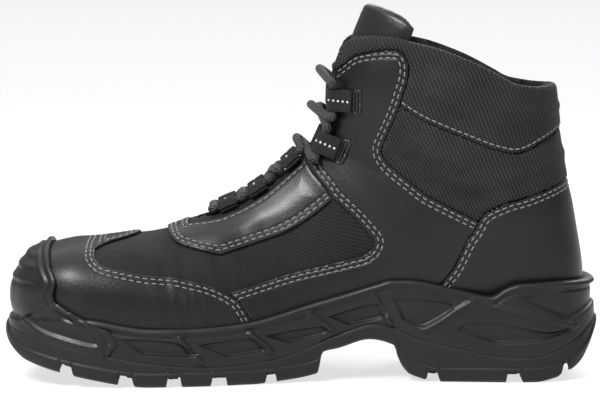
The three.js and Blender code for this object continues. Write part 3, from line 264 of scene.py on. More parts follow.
# Grooves between the edge lugs: along, width
EDGE_GROOVES = (
    (0.892, 6.5), (0.792, 7.5), (0.712, 7.5), (0.637, 7.5), (0.551, 5.0), (0.280, 6.0), (0.144, 7.5),
    (0.056, 4.0),
)
CENTRE_GROOVES = ((0.920, 15), (0.822, 20), (0.720, 22), (0.625, 22), (0.212, 15))
CENTRE_GROOVE_WIDTH = 4.5


def along_to_x(along: np.ndarray | float) -> np.ndarray | float:
    """Place along the boot of a share of its length from the heel."""
    return HEEL_REACH - along * LENGTH


def up_to_z(up: np.ndarray | float) -> np.ndarray | float:
    """Height of a share of the upper's height."""
    return BED_HEIGHT + up * UPPER_HEIGHT


def rim_to_z(up: np.ndarray | float) -> np.ndarray | float:
    """Height of a share of the rim's height."""
    return up * RIM_HEIGHT


def smooth(low: float, high: float, value: np.ndarray) -> np.ndarray:
    """Smooth step from 0 at low to 1 at high."""
    share = np.clip((value - low) / (high - low), 0.0, 1.0)
    return share * share * (3.0 - 2.0 * share)


def hill(distance: np.ndarray, width: float) -> np.ndarray:
    """Soft hill of height 1 with a given half width."""
    return np.exp(-((distance / width) ** 2))


def catmull_rom(rows: np.ndarray, position: np.ndarray) -> np.ndarray:
    """Rows of a table between its own rows, on a smooth curve through them.

    Args:
        rows: the table, one row for each knot.
        position: where to read it, counted in rows.

    Returns:
        One row for each position.
    """
    last = len(rows) - 1
    index = np.clip(np.floor(position).astype(int), 0, last - 1)
    t = (np.asarray(position, float) - index)[..., None]
    a, b = rows[np.maximum(index - 1, 0)], rows[index]
    c, d = rows[index + 1], rows[np.minimum(index + 2, last)]
    return 0.5 * (2 * b + (c - a) * t + (2 * a - 5 * b + 4 * c - d) * t**2 + (3 * b - a - 3 * c + d) * t**3)


def column(table: np.ndarray, index: int, along: np.ndarray) -> np.ndarray:
    """A column of a table at shares along, on a smooth curve that never overshoots its rows."""
    x, y = table[:, 0], table[:, index]
    slope = np.diff(y) / np.diff(x)
    before, after = slope[:-1], slope[1:]
    with np.errstate(divide="ignore", invalid="ignore"):
        inner = np.where(before * after <= 0, 0.0, 2 * before * after / (before + after))
    tangent = np.concatenate(([slope[0]], inner, [slope[-1]]))
    along = np.clip(along, x[0], x[-1])
    i = np.clip(np.searchsorted(x, along, side="right") - 1, 0, len(x) - 2)
    span = x[i + 1] - x[i]
    t = (along - x[i]) / span
    return (
        (2 * t**3 - 3 * t**2 + 1) * y[i]
        + (t**3 - 2 * t**2 + t) * span * tangent[i]
        + (3 * t**2 - 2 * t**3) * y[i + 1]
        + (t**3 - t**2) * span * tangent[i + 1]
    )


def unit(vectors: np.ndarray) -> np.ndarray:
    """Vectors of length 1."""
    return vectors / np.maximum(np.linalg.norm(vectors, axis=-1, keepdims=True), 1e-9)


def grid_normals(points: np.ndarray, wrap_u: bool = False, wrap_v: bool = False) -> np.ndarray:
    """Normals of a grid of points, from the differences along its two directions."""

    def slope(axis: int, wrap: bool) -> np.ndarray:
        """Central difference along one direction."""
        if wrap:
            return np.roll(points, -1, axis) - np.roll(points, 1, axis)
        return np.gradient(points, axis=axis)

    return unit(np.cross(slope(0, wrap_u), slope(1, wrap_v)))


class Last:
    """The foot form that every piece of the upper is laid on."""

    def point(self, position: np.ndarray, turn: np.ndarray) -> np.ndarray:
        """Point of the surface.

        Args:
            position: place along the table of sections, counted in rows.
            turn: place round the section, from the instep over the inner side, the bottom and the outer side.

        Returns:
            Points in millimetres.
        """
        position, turn = np.broadcast_arrays(position, turn)
        row = np.moveaxis(catmull_rom(LAST_ROWS, position), -1, 0)
        top_along, top_up, low_along, low_up, inner, outer, swing, widest, crown, base = row
        angle = 2 * np.pi * turn
        cosine, sine = np.cos(angle), np.sin(angle)
        power = np.where(cosine >= 0, crown, base)
        reach = np.abs(cosine) ** (2 / power)
        down = np.where(cosine >= 0, widest * (1 - reach), widest + (1 - widest) * reach)
        half = np.where(sine >= 0, inner, outer) * BALL_WIDTH
        side = -np.sign(sine) * half * np.abs(sine) ** (2 / power)
        x = along_to_x(top_along + (low_along - top_along) * down)
        z = up_to_z(top_up + (low_up - top_up) * down)
        return np.stack([x, swing * BALL_WIDTH + side, z], -1)

    def normal(self, position: np.ndarray, turn: np.ndarray) -> np.ndarray:
        """Outward direction of the surface."""
        step = 0.02
        start = np.maximum(step, position - step)
        end = np.minimum(len(LAST_ROWS) - 1, position + step)
        along = self.point(end, turn) - self.point(start, turn)
        middle = np.maximum(start, position)
        around = self.point(middle, turn + step / 2) - self.point(middle, turn - step / 2)
        return unit(np.cross(around, along))

    def at(self, position: float, turn: float, out: float) -> np.ndarray:
        """One point at a distance from the surface."""
        place, spin = np.array(float(position)), np.array(float(turn))
        return self.point(place, spin) + out * self.normal(place, spin)

    def position_at_up(self, up: float) -> float:
        """Place on the instep line with a given height, as a share of the upper's height."""
        places = np.linspace(6, len(LAST_ROWS) - 1, 4000)
        heights = catmull_rom(LAST_ROWS, places)[:, 1]
        return float(np.interp(up, heights, places))

    def turn_at_side(self, position: float, side: float) -> float:
        """Turn at which a section is a given distance from the boot's middle."""
        turns = np.linspace(0, 0.25, 1000)
        reach = np.abs(self.point(np.full_like(turns, position), turns)[:, 1])
        return float(np.interp(side, reach, turns))


LAST = Last()


@dataclass
class Surface:
    """A grid of points with their normals and their place along and round the boot."""

    points: np.ndarray
    normals: np.ndarray
    around: np.ndarray
    wrap: bool = False

    def part(self, keep: np.ndarray) -> "Surface":
        """The smallest block of the grid that holds every marked point."""
        rows, columns = np.nonzero(keep.any(1))[0], np.nonzero(keep.any(0))[0]
        block = np.s_[max(rows[0] - 2, 0):rows[-1] + 3, max(columns[0] - 2, 0):columns[-1] + 3]
        return Surface(self.points[block], self.normals[block], self.around[block])

    def lifted(self, out: np.ndarray | float) -> np.ndarray:
        """Points at a distance from the surface."""
        return self.points + self.normals * np.asarray(out)[..., None]

    def tree(self, out: float = 0.0) -> BVHTree:
        """Search tree of the surface, for rays."""
        rows, columns = self.points.shape[:2]
        index = np.arange(rows * columns).reshape(rows, columns)
        quads = np.stack([index[:-1, :-1], index[1:, :-1], index[1:, 1:], index[:-1, 1:]], -1).reshape(-1, 4)
        return BVHTree.FromPolygons(self.lifted(out).reshape(-1, 3).tolist(), quads.tolist())


def last_surface(cell: float) -> Surface:
    """The last as an even grid, from the toe to above the collar and once round from the bottom."""
    fine = np.linspace(0.03, len(LAST_ROWS) - 1, 500)
    probes = LAST.point(fine[:, None], np.array([[0.0, 0.1, 0.2, 0.3, 0.5, 0.7, 0.8, 0.9]]))
    steps = np.linalg.norm(np.diff(probes, axis=0), axis=-1).max(1)
    run = np.concatenate(([0.0], np.cumsum(steps)))
    count = int(run[-1] / cell / 1.15)
    positions = np.interp(np.linspace(0, run[-1], count), run, fine)
    turns = np.linspace(0, 0.5, 400)
    half = int(142.0 / cell)
    shares = np.linspace(0, 1, half)
    rows = []
    around = []
    for position in positions:
        sides = []
        lengths = []
        for sense in (1, -1):
            line = LAST.point(np.full_like(turns, position), sense * turns)
            reach = np.concatenate(([0.0], np.cumsum(np.linalg.norm(np.diff(line, axis=0), axis=1))))
            sides.append(sense * np.interp(shares * reach[-1], reach, turns))
            lengths.append(-sense * shares * reach[-1])
        rows.append(np.concatenate((sides[0][::-1], sides[1][1:])))
        around.append(np.concatenate((lengths[0][::-1], lengths[1][1:])))
    turn = np.array(rows)
    place = np.repeat(positions[:, None], turn.shape[1], 1)
    points = LAST.point(place, turn)
    return Surface(points, LAST.normal(place, turn), np.array(around))


def spline(points: Pairs, steps: int = 5) -> np.ndarray:
    """Smooth line through points."""
    places = np.array(points, float)
    if len(places) < 3:
        return places
    return catmull_rom(places, np.linspace(0, len(places) - 1, (len(places) - 1) * steps + 1))


def side_line(points: Pairs, height: Callable = up_to_z, steps: int = 5) -> np.ndarray:
    """Smooth side view line in millimetres, from shares."""
    places = np.array(points, float)
    return spline(np.stack([along_to_x(places[:, 0]), height(places[:, 1])], 1), steps)


def closed_line(*runs: np.ndarray) -> np.ndarray:
    """Closed outline from runs that meet at corners."""
    points = np.concatenate(runs)
    apart = np.linalg.norm(points - np.roll(points, 1, 0), axis=1) > 1e-3
    return points[apart]


def line_distance(places: np.ndarray, line: np.ndarray, closed: bool) -> tuple[np.ndarray, np.ndarray]:
    """Distance from places to a line in the plane, and the direction away from it.

    Args:
        places: points of the plane, in the last axis.
        line: the line's points.
        closed: whether its last point joins its first.

    Returns:
        The distance, and the direction from the nearest point of the line.
    """
    x, y = places[..., 0], places[..., 1]
    best = np.full(x.shape, np.inf)
    away = np.zeros(places.shape[:-1] + (2,))
    ends = np.roll(line, -1, 0) if closed else line[1:]
    for (ax, ay), (bx, by) in zip(line, ends):
        run_x, run_y = bx - ax, by - ay
        share = np.clip(((x - ax) * run_x + (y - ay) * run_y) / max(run_x**2 + run_y**2, 1e-12), 0, 1)
        off_x, off_y = x - ax - share * run_x, y - ay - share * run_y
        square = off_x**2 + off_y**2
        nearer = square < best
        best = np.where(nearer, square, best)
        away[..., 0] = np.where(nearer, off_x, away[..., 0])
        away[..., 1] = np.where(nearer, off_y, away[..., 1])
    distance = np.sqrt(best)
    return distance, away / np.maximum(distance, 1e-6)[..., None]


def inside(places: np.ndarray, line: np.ndarray) -> np.ndarray:
    """Which places lie inside a closed outline."""
    x, y = places[..., 0], places[..., 1]
    found = np.zeros(x.shape, bool)
    for (ax, ay), (bx, by) in zip(line, np.roll(line, -1, 0)):
        crosses = (ay > y) != (by > y)
        if ay != by:
            found ^= crosses & (x < ax + (y - ay) / (by - ay) * (bx - ax))
    return found


class View(Enum):
    """The view that an outline is drawn in, as the two axes that it keeps."""

    SIDE = (0, 2)
    PLAN = (0, 1)


@dataclass(frozen=True)
class Region:
    """What lies inside a closed outline, in one view."""

    line: np.ndarray
    view: View = View.SIDE

    def measure(self, points: np.ndarray) -> tuple[np.ndarray, np.ndarray]:
        """Distance inside the outline, below 0 outside, and the direction that it grows in."""
        places = points[..., list(self.view.value)]
        distance, away = line_distance(places, self.line, True)
        sign = np.where(inside(places, self.line), 1.0, -1.0)
        toward = np.zeros(points.shape)
        toward[..., self.view.value[0]] = away[..., 0] * sign
        toward[..., self.view.value[1]] = away[..., 1] * sign
        return distance * sign, toward


@dataclass(frozen=True)
class Cut:
    """A region built from others: inside all that it needs, and clear of all that covers it."""

    needs: tuple
    covers: tuple = ()
    clearance: float = 0.0

    def measure(self, points: np.ndarray) -> tuple[np.ndarray, np.ndarray]:
        """Distance inside the region and the direction that it grows in."""
        distance, toward = self.needs[0].measure(points)
        for other in self.needs[1:]:
            more, grows = other.measure(points)
            distance, toward = pick(more < distance, more, grows, distance, toward)
        for other in self.covers:
            more, grows = other.measure(points)
            more, grows = -more - self.clearance, -grows
            distance, toward = pick(more < distance, more, grows, distance, toward)
        return distance, toward


@dataclass(frozen=True)
class Either:
    """What lies in any of several regions."""

    parts: tuple

    def measure(self, points: np.ndarray) -> tuple[np.ndarray, np.ndarray]:
        """Distance inside the region and the direction that it grows in."""
        distance, toward = self.parts[0].measure(points)
        for other in self.parts[1:]:
            more, grows = other.measure(points)
            distance, toward = pick(more > distance, more, grows, distance, toward)
        return distance, toward


def pick(
    choose: np.ndarray, distance: np.ndarray, toward: np.ndarray, other: np.ndarray, other_toward: np.ndarray
) -> tuple[np.ndarray, np.ndarray]:
    """The first distance and direction where choose holds, and the other ones elsewhere."""
    return np.where(choose, distance, other), np.where(choose[..., None], toward, other_toward)


def box_line(runs: Iterable[Pairs]) -> np.ndarray:
    """Closed side outline in millimetres from runs of shares that meet at corners."""
    return closed_line(*[side_line(run) for run in runs])


THROAT = Region(box_line([THROAT_EDGE, ((0.442, FAR_UP), (0.690, FAR_UP))]))
OVER_COLLAR = Region(box_line([COLLAR_LINE, ((FAR_BACK, FAR_UP), (0.442, FAR_UP))]))
SIDE_VAMP = Region(box_line([VAMP_SIDE, VAMP_REAR, ((FAR_FRONT, FAR_DOWN), (FAR_FRONT, 0.6), (0.847, 0.6))]))
FACING = Region(box_line([FACING_TOP, FACING_LOW, FACING_FRONT, ((0.731, 0.70), (0.498, 0.70))]))
QUARTER = Region(box_line([
    QUARTER_TOP, COUNTER_FRONT, ((0.600, FAR_DOWN), (0.608, 0.150)), TEXTILE_LOW, FACING_TOP[::-1],
    ((0.498, 0.600), (0.498, 0.860)),
]))
COUNTER = Region(box_line([COUNTER_TOP, COUNTER_FRONT, ((-0.04, FAR_DOWN), (-0.04, 0.540))]))
COLLAR = Region(box_line([COLLAR_SEAM, ((FAR_BACK, 0.740), (FAR_BACK, FAR_UP), (0.56, FAR_UP), (0.56, 0.762))]))
ANKLE = Region(box_line([COLLAR_SEAM, ((FAR_BACK, 0.740), (FAR_BACK, 0.36), (0.376, 0.36), (0.376, 0.762))]))
OVER_SOLE = Region(np.array([
    (along_to_x(1.2), 5.0), *[(along_to_x(a), u * RIM_HEIGHT - 9.0) for a, u in RIM_LINE[::-1]],
    (along_to_x(FAR_BACK), 40.0), (along_to_x(FAR_BACK), 320.0), (along_to_x(1.2), 320.0),
]))


def vamp_tongue() -> Region:
    """The vamp's tongue over the toe, in plan."""
    side = np.array(VAMP_TONGUE)
    middle = np.interp(along_to_x(side[:, 0]), [along_to_x(0.887), along_to_x(0.777)], [-5.4, -3.2])
    places = np.stack([along_to_x(side[:, 0]), middle - side[:, 1]], 1)
    mirror = np.stack([along_to_x(side[:, 0]), middle + side[:, 1]], 1)[::-1]
    tip = np.array([[along_to_x(0.7745), -3.2]])
    return Region(closed_line(spline(np.concatenate((places, tip, mirror)), 4)), View.PLAN)


# Soft troughs where the boot flexes: side view line in shares, depth and half width in millimetres
FLEX_CREASES = (
    (((0.700, 0.300), (0.690, 0.200), (0.684, 0.100)), 0.55, 3.2),
    (((0.676, 0.290), (0.664, 0.200), (0.656, 0.110)), 0.40, 2.6),
    (((0.728, 0.260), (0.722, 0.170), (0.716, 0.100)), 0.35, 2.8),
    (((0.640, 0.300), (0.630, 0.240), (0.618, 0.180)), 0.35, 3.0),
    (((0.758, 0.330), (0.700, 0.312), (0.650, 0.290)), 0.30, 3.5),
    (((0.560, 0.380), (0.520, 0.330), (0.470, 0.300)), 0.30, 4.0),
    (((0.450, 0.640), (0.420, 0.600), (0.370, 0.560)), 0.60, 5.0),
    (((0.440, 0.560), (0.400, 0.520), (0.350, 0.480)), 0.40, 5.0),
    (((0.330, 0.600), (0.260, 0.560), (0.180, 0.560)), 0.50, 5.0),
    (((0.300, 0.520), (0.240, 0.480), (0.190, 0.470)), 0.35, 3.5),
)


def flex(points: np.ndarray) -> np.ndarray:
    """How far the creases of wear push the surface out or in, in millimetres."""
    places = points[..., [0, 2]]
    total = np.zeros(places.shape[:-1])
    for crease, depth, width in FLEX_CREASES:
        line = side_line(crease, steps=4)
        distance, _ = line_distance(places, line, False)
        total -= depth * hill(distance, width)
        total += 0.45 * depth * hill(distance - 2.2 * width, width)
    return total


class Weave(Enum):
    """How a piece's own map runs, for cloth that follows it."""

    FOOT = "foot"
    ANKLE = "ankle"


def weave_map(surface: Surface, weave: Weave) -> np.ndarray:
    """Map of a surface in millimetres: along and round the foot, or round and up the ankle."""
    if weave is Weave.FOOT:
        return np.stack([surface.points[..., 0], surface.around], -1)
    return np.stack([surface.around, surface.points[..., 2]], -1)


def slope_share(toward: np.ndarray, normals: np.ndarray) -> tuple[np.ndarray, np.ndarray]:
    """A view direction turned into the surface, and how much of it is left there."""
    tangent = toward - (toward * normals).sum(-1, keepdims=True) * normals
    share = np.maximum(np.linalg.norm(tangent, axis=-1), 0.25)
    return tangent, share


def new_object(name: str, mesh: bpy.types.Mesh) -> bpy.types.Object:
    """An object in the scene that holds a mesh."""
    thing = bpy.data.objects.new(name, mesh)
    bpy.context.scene.collection.objects.link(thing)
    return thing


def to_object(name: str, bm: bmesh.types.BMesh, smooth_shade: bool = True) -> bpy.types.Object:
    """Turns a bmesh in millimetres into an object in metres."""
    bmesh.ops.scale(bm, vec=(MM, MM, MM), verts=bm.verts)
    mesh = bpy.data.meshes.new(name)
    bm.to_mesh(mesh)
    bm.free()
    if smooth_shade:
        mesh.shade_smooth()
    return new_object(name, mesh)


def grid_mesh(
    points: np.ndarray,
    keep: np.ndarray | None = None,
    values: dict[str, np.ndarray] | None = None,
    normals: np.ndarray | None = None,
) -> bmesh.types.BMesh:
    """A bmesh of a grid, with values at each vertex.

    Args:
        points: rows and columns of points, in millimetres.
        keep: which faces stay.
        values: named rows and columns of numbers.
        normals: the outward direction at each point, kept in the layer out.

    Returns:
        The bmesh.
    """
    rows, columns = points.shape[:2]
    bm = bmesh.new()
    bmesh.ops.create_grid(bm, x_segments=rows - 1, y_segments=columns - 1, size=1.0)
    flat = np.swapaxes(points, 0, 1).reshape(-1, 3)
    for vert, place in zip(bm.verts, flat.tolist()):
        vert.co = place
    for name, grid in (values or {}).items():
        layer = bm.verts.layers.float.new(name)
        for vert, number in zip(bm.verts, grid.T.ravel().tolist()):
            vert[layer] = number
    if normals is not None:
        layer = bm.verts.layers.float_vector.new("out")
        for vert, normal in zip(bm.verts, np.swapaxes(normals, 0, 1).reshape(-1, 3).tolist()):
            vert[layer] = normal
    if keep is not None:
        order = keep.T.ravel().tolist()
        gone = [face for face, stays in zip(bm.faces, order) if not stays]
        bmesh.ops.delete(bm, geom=gone, context="FACES")
    return bm


def add_map(thing: bpy.types.Object, period: float | None = None) -> None:
    """Turns the two numbers of a mesh's own map, in millimetres, into its texture map.

    Args:
        thing: the piece, with the vertex numbers map_u and map_v.
        period: where the second number starts again round a tube.
    """
    mesh = thing.data
    corners = np.zeros(len(mesh.loops), np.int32)
    mesh.loops.foreach_get("vertex_index", corners)
    flat = np.zeros((len(mesh.loops), 2), np.float32)
    for axis, name in enumerate(("map_u", "map_v")):
        number = np.zeros(len(mesh.vertices), np.float32)
        mesh.attributes[name].data.foreach_get("value", number)
        flat[:, axis] = number[corners]
    if period is not None:
        starts = np.zeros(len(mesh.polygons), np.int32)
        mesh.polygons.foreach_get("loop_start", starts)
        sizes = np.diff(np.append(starts, len(corners)))
        highest = np.repeat(np.maximum.reduceat(flat[:, 1], starts), sizes)
        flat[:, 1] += np.where(highest - flat[:, 1] > period / 2, period, 0.0)
    mesh.uv_layers.new(name="cloth_map").data.foreach_set("uv", flat.ravel())
    for name in ("map_u", "map_v"):
        mesh.attributes.remove(mesh.attributes[name])


def ring_run(points: np.ndarray) -> np.ndarray:
    """Length along a line of points, from its start."""
    return np.concatenate(([0.0], np.cumsum(np.linalg.norm(np.diff(points, axis=0), axis=1))))


def tube(name: str, rings: np.ndarray) -> bpy.types.Object:
    """A closed tube with a map of its run and its girth, in millimetres.

    Args:
        name: the piece's name.
        rings: rows of points, one ring each, ordered round the tube.

    Returns:
        The tube, its two ends drawn together.
    """
    closed = np.concatenate((rings, rings[:, :1]), 1)
    hubs = np.broadcast_to(rings.mean(1)[[0, -1], None], (2, closed.shape[1], 3))
    points = np.concatenate((hubs[:1], closed, hubs[1:]))
    run = ring_run(points.mean(1))
    girth = ring_run(closed[len(closed) // 2])
    grid = {"map_u": np.repeat(run[:, None], len(girth), 1), "map_v": np.repeat(girth[None], len(run), 0)}
    bm = grid_mesh(points, values=grid)
    bmesh.ops.remove_doubles(bm, verts=bm.verts, dist=1e-3)
    bmesh.ops.recalc_face_normals(bm, faces=bm.faces)
    thing = to_object(name, bm)
    add_map(thing, float(girth[-1]))
    return thing


def even_line(points: np.ndarray, pitch: float) -> np.ndarray:
    """A smooth line through points, with new points at an even pitch."""
    fine = catmull_rom(points, np.linspace(0, len(points) - 1, 24 * len(points)))
    run = ring_run(fine)
    wanted = np.linspace(0, run[-1], max(int(run[-1] / pitch), 3))
    return np.stack([np.interp(wanted, run, fine[:, axis]) for axis in range(3)], 1)


def round_rings(line: np.ndarray, radius: float, sides: int) -> np.ndarray:
    """Circles along a line that don't twist about it."""
    ahead = unit(np.gradient(line, axis=0))
    side = unit(np.cross(ahead[0], [0.31, 0.17, 0.94]))
    angle = np.linspace(0, 2 * np.pi, sides, endpoint=False)[:, None]
    rings = []
    for place, direction in zip(line, ahead):
        side = unit(side - direction * (side @ direction))
        up = np.cross(direction, side)
        rings.append(place + radius * (np.cos(angle) * side + np.sin(angle) * up))
    return np.array(rings)


def pillow(name: str, middle: np.ndarray, normals: np.ndarray, half: np.ndarray, weave: np.ndarray) -> bpy.types.Object:
    """A padded sheet that closes round its rim.

    Args:
        name: the piece's name.
        middle: rows and columns of points of its middle surface.
        normals: the outward direction at each point.
        half: half its thickness at each point, 0 on the rim.
        weave: its map in millimetres.

    Returns:
        The closed piece.
    """
    front = middle + normals * half[..., None]
    back = middle - normals * half[..., None]
    points = np.concatenate((front, back[:, ::-1], front[:, :1]), 1)
    places = np.concatenate((weave, weave[:, ::-1], weave[:, :1]), 1)
    bm = grid_mesh(points, values={"map_u": places[..., 0], "map_v": places[..., 1]})
    bmesh.ops.remove_doubles(bm, verts=bm.verts, dist=1e-3)
    bmesh.ops.recalc_face_normals(bm, faces=bm.faces)
    thing = to_object(name, bm)
    add_map(thing)
    return thing


def contours(points: np.ndarray, values: np.ndarray, level: float, allowed: np.ndarray) -> list[np.ndarray]:
    """Lines on a grid where a value has one level.

    Args:
        points: rows and columns of vectors, of any width.
        values: the value at each point.
        level: the level to follow.
        allowed: points that a line may pass.

    Returns:
        The lines, as arrays of vectors.
    """
    rows, columns = values.shape
    above = values > level
    crossing: dict[tuple, np.ndarray] = {}
    links: dict[tuple, list[tuple]] = {}

    def edge(a: tuple[int, int], b: tuple[int, int]) -> tuple | None:
        """The crossing on one edge of a cell."""
        if above[a] == above[b]:
            return None
        key = (a, b)
        if key not in crossing:
            share = (level - values[a]) / (values[b] - values[a])
            crossing[key] = points[a] * (1 - share) + points[b] * share
        return key

    mixed = above[:-1, :-1].astype(int) + above[1:, :-1] + above[:-1, 1:] + above[1:, 1:]
    usable = allowed[:-1, :-1] & allowed[1:, :-1] & allowed[:-1, 1:] & allowed[1:, 1:]
    for i, j in np.argwhere((mixed > 0) & (mixed < 4) & usable):
        corners = [
            edge((i, j), (i + 1, j)), edge((i, j), (i, j + 1)),
            edge((i + 1, j), (i + 1, j + 1)), edge((i, j + 1), (i + 1, j + 1)),
        ]
        found = [corner for corner in corners if corner is not None]
        if len(found) == 2:
            links.setdefault(found[0], []).append(found[1])
            links.setdefault(found[1], []).append(found[0])
    lines = []
    seen: set[tuple] = set()
    starts = [key for key, near in links.items() if len(near) == 1] + list(links)
    for start in starts:
        if start in seen:
            continue
        line = [start]
        seen.add(start)
        while True:
            onward = [key for key in links[line[-1]] if key not in seen]
            if not onward:
                break
            line.append(onward[0])
            seen.add(onward[0])
        if len(line) > 4:
            lines.append(np.array([crossing[key] for key in line]))
    return lines


@dataclass(frozen=True)
class StitchStyle:
    """How a row of stitches is sewn, in millimetres."""

    pitch: float = 4.0
    length: float = 3.0
    width: float = 0.86
    height: float = 0.62
    rows: tuple[float, ...] = (1.9, 4.2)


def stitch_template(style: StitchStyle) -> tuple[np.ndarray, list[tuple[int, ...]]]:
    """One stitch: a rounded length of thread that dips at both ends."""
    bm = bmesh.new()
    bmesh.ops.create_uvsphere(bm, u_segments=6, v_segments=5, radius=0.5)
    bmesh.ops.rotate(bm, verts=bm.verts, matrix=Matrix.Rotation(math.radians(90.0), 3, "Y"))
    for vert in bm.verts:
        x, y, z = vert.co
        stretched = math.copysign(abs(2 * x) ** 0.55, x) / 2
        vert.co = (stretched * style.length, y * style.width, z * style.height - 0.5 * (2 * stretched) ** 4 * style.height)
    points = np.array([vert.co[:] for vert in bm.verts])
    faces = [tuple(vert.index for vert in face.verts) for face in bm.faces]
    bm.free()
    return points, faces


def scattered(
    name: str, template: tuple[np.ndarray, list[tuple[int, ...]]], places: np.ndarray, frames: np.ndarray
) -> bpy.types.Object:
    """Many copies of a small shape as one joined mesh.

    Args:
        name: the piece's name.
        template: the shape's points and faces.
        places: where each copy stands, in millimetres.
        frames: each copy's three axes, as columns.

    Returns:
        The joined object.
    """
    points, faces = template
    spread = (np.einsum("kij,nj->kni", frames, points) + places[:, None]) * MM
    offsets = (np.arange(len(places)) * len(points)).tolist()
    joined = [tuple(corner + offset for corner in face) for offset in offsets for face in faces]
    mesh = bpy.data.meshes.new(name)
    mesh.from_pydata(spread.reshape(-1, 3).tolist(), [], joined)
    mesh.shade_smooth()
    return new_object(name, mesh)


def along_line(line: np.ndarray, pitch: float, start: float = 0.0) -> np.ndarray:
    """Values of a line at an even pitch; its first three columns are its points."""
    steps = np.linalg.norm(np.diff(line[:, :3], axis=0), axis=1)
    run = np.concatenate(([0.0], np.cumsum(steps)))
    count = int((run[-1] - start) / pitch)
    wanted = start + pitch * (np.arange(count) + 0.5)
    return np.stack([np.interp(wanted, run, line[:, k]) for k in range(line.shape[1])], 1)


def sew(name: str, rows: list[np.ndarray], style: StitchStyle) -> bpy.types.Object:
    """Stitches along lines whose columns are a point and the surface's normal there."""
    places = []
    frames = []
    for number, row in enumerate(rows):
        samples = along_line(row, style.pitch, 0.5 * style.pitch * (number % 2))
        if len(samples) < 3:
            continue
        ahead = unit(np.gradient(samples[:, :3], axis=0))
        up = unit(samples[:, 3:6])
        across = unit(np.cross(up, ahead))
        frames.append(np.stack([ahead, across, np.cross(ahead, across)], -1))
        places.append(samples[:, :3] + 0.10 * up)
    return scattered(name, stitch_template(style), np.concatenate(places), np.concatenate(frames))


@dataclass
class Panel:
    """A cut piece of leather or cloth that lies on the last, with a rolled edge and sewn rows."""

    name: str
    region: object
    thickness: float
    under: float = GAP
    roll: float = 1.3
    puff: float = 0.25
    puff_reach: float = 12.0
    seams: tuple = ()
    weave: Weave = Weave.FOOT
    cell: float = LEATHER_CELL
    style: StitchStyle = StitchStyle()
    flexes: bool = True
    rows: list = field(default_factory=list)

    def build(self, last: Surface) -> bpy.types.Object:
        """Cuts the piece out of the last's grid and gives it its thickness."""
        outer = last.lifted(self.under + self.thickness)
        rough, _ = self.region.measure(last.points[::4, ::4])
        wide = np.kron(rough > -9.0, np.ones((4, 4), bool))[:outer.shape[0], :outer.shape[1]]
        if wide.shape != outer.shape[:2]:
            short = [(0, outer.shape[0] - wide.shape[0]), (0, outer.shape[1] - wide.shape[1])]
            wide = np.pad(wide, short, mode="edge")
        surface = last.part(wide)
        points = surface.lifted(self.under + self.thickness)
        distance, toward = self.region.measure(points)
        tangent, share = slope_share(toward, surface.normals)
        depth = distance / share
        seam = self.seam_distance(points, surface.normals)
        rise = self.profile(depth, seam)
        if self.flexes:
            rise = rise + flex(points)
        shaped = points + surface.normals * rise[..., None]
        self.find_rows(shaped, surface.normals, seam, depth)
        moved, keep = snap(shaped, tangent / share[..., None] ** 2, distance, depth, self.cell)
        places = weave_map(surface, self.weave)
        # The edge distance drives the leather's painted edge highlight; the seam distance drives its groove relief and
        # painted groove shade.
        values = {"map_u": places[..., 0], "map_v": places[..., 1], "seam": seam, "edge": np.maximum(depth, 0.0)}
        bm = grid_mesh(moved, keep, values, surface.normals)
        close_sheet(bm, self.thickness)
        thing = to_object(self.name, bm)
        add_map(thing)
        return thing

    def profile(self, depth: np.ndarray, seam: np.ndarray) -> np.ndarray:
        """Height over the flat leather: rolled down at the edge, and full between the seams."""
        edge = np.clip(depth / self.roll, 0.0, 1.0)
        rolled = -0.32 * self.thickness * (1.0 - np.sqrt(1.0 - (1.0 - edge) ** 2))
        full = self.puff * smooth(self.roll + 3.5, self.puff_reach, depth)
        sewn = sum(-0.22 * hill(seam - row, 0.9) for row in self.style.rows) if self.seams else 0.0
        return rolled + full + sewn

    def seam_distance(self, points: np.ndarray, normals: np.ndarray) -> np.ndarray:
        """Distance on the surface from the sewn edges, or far where there are none."""
        nearest = np.full(points.shape[:2], 99.0)
        for line, view in self.seams:
            distance, away = line_distance(points[..., list(view.value)], line, False)
            toward = np.zeros(points.shape)
            toward[..., view.value[0]] = away[..., 0]
            toward[..., view.value[1]] = away[..., 1]
            _, share = slope_share(toward, normals)
            nearest = np.minimum(nearest, distance / share)
        return nearest

    def find_rows(self, points: np.ndarray, normals: np.ndarray, seam: np.ndarray, depth: np.ndarray) -> None:
        """Finds where the stitches run on the shaped piece."""
        if not self.seams:
            return
        packed = np.concatenate((points, normals), -1)
        for row in self.style.rows:
            near = (seam < row + 6.0) & (depth > -0.3) & (depth < seam + 2.0)
            self.rows.extend(contours(packed, seam, row, near))


def snap(
    points: np.ndarray, toward: np.ndarray, distance: np.ndarray, depth: np.ndarray, cell: float
) -> tuple[np.ndarray, np.ndarray]:
    """Moves the grid points next to an outline onto it, and finds the faces inside.

    Args:
        points: rows and columns of points.
        toward: the move that raises the distance by 1 at each point.
        distance: distance inside the outline.
        depth: the same, measured on the surface.
        cell: pitch of the grid.

    Returns:
        The moved points and the faces that stay.
    """
    near = np.abs(depth) < 0.62 * cell
    settled = np.where(near, 0.0, depth)

    def move(chosen: np.ndarray) -> np.ndarray:
        """Step onto the outline at the chosen points, kept short."""
        step = -distance[..., None] * toward
        length = np.linalg.norm(step, axis=-1, keepdims=True)
        return np.where(chosen[..., None], step * np.minimum(1.0, 2.2 * cell / np.maximum(length, 1e-9)), 0.0)

    moved = points + move(near)
    corners = np.stack([settled[:-1, :-1], settled[1:, :-1], settled[:-1, 1:], settled[1:, 1:]])
    keep = (corners.mean(0) > 0.02 * cell) & (corners.min(0) > -1.3 * cell)
    used = np.zeros(depth.shape, bool)
    for block in (np.s_[:-1, :-1], np.s_[1:, :-1], np.s_[:-1, 1:], np.s_[1:, 1:]):
        used[block] |= keep
    return moved + move(used & (settled < 0)), keep


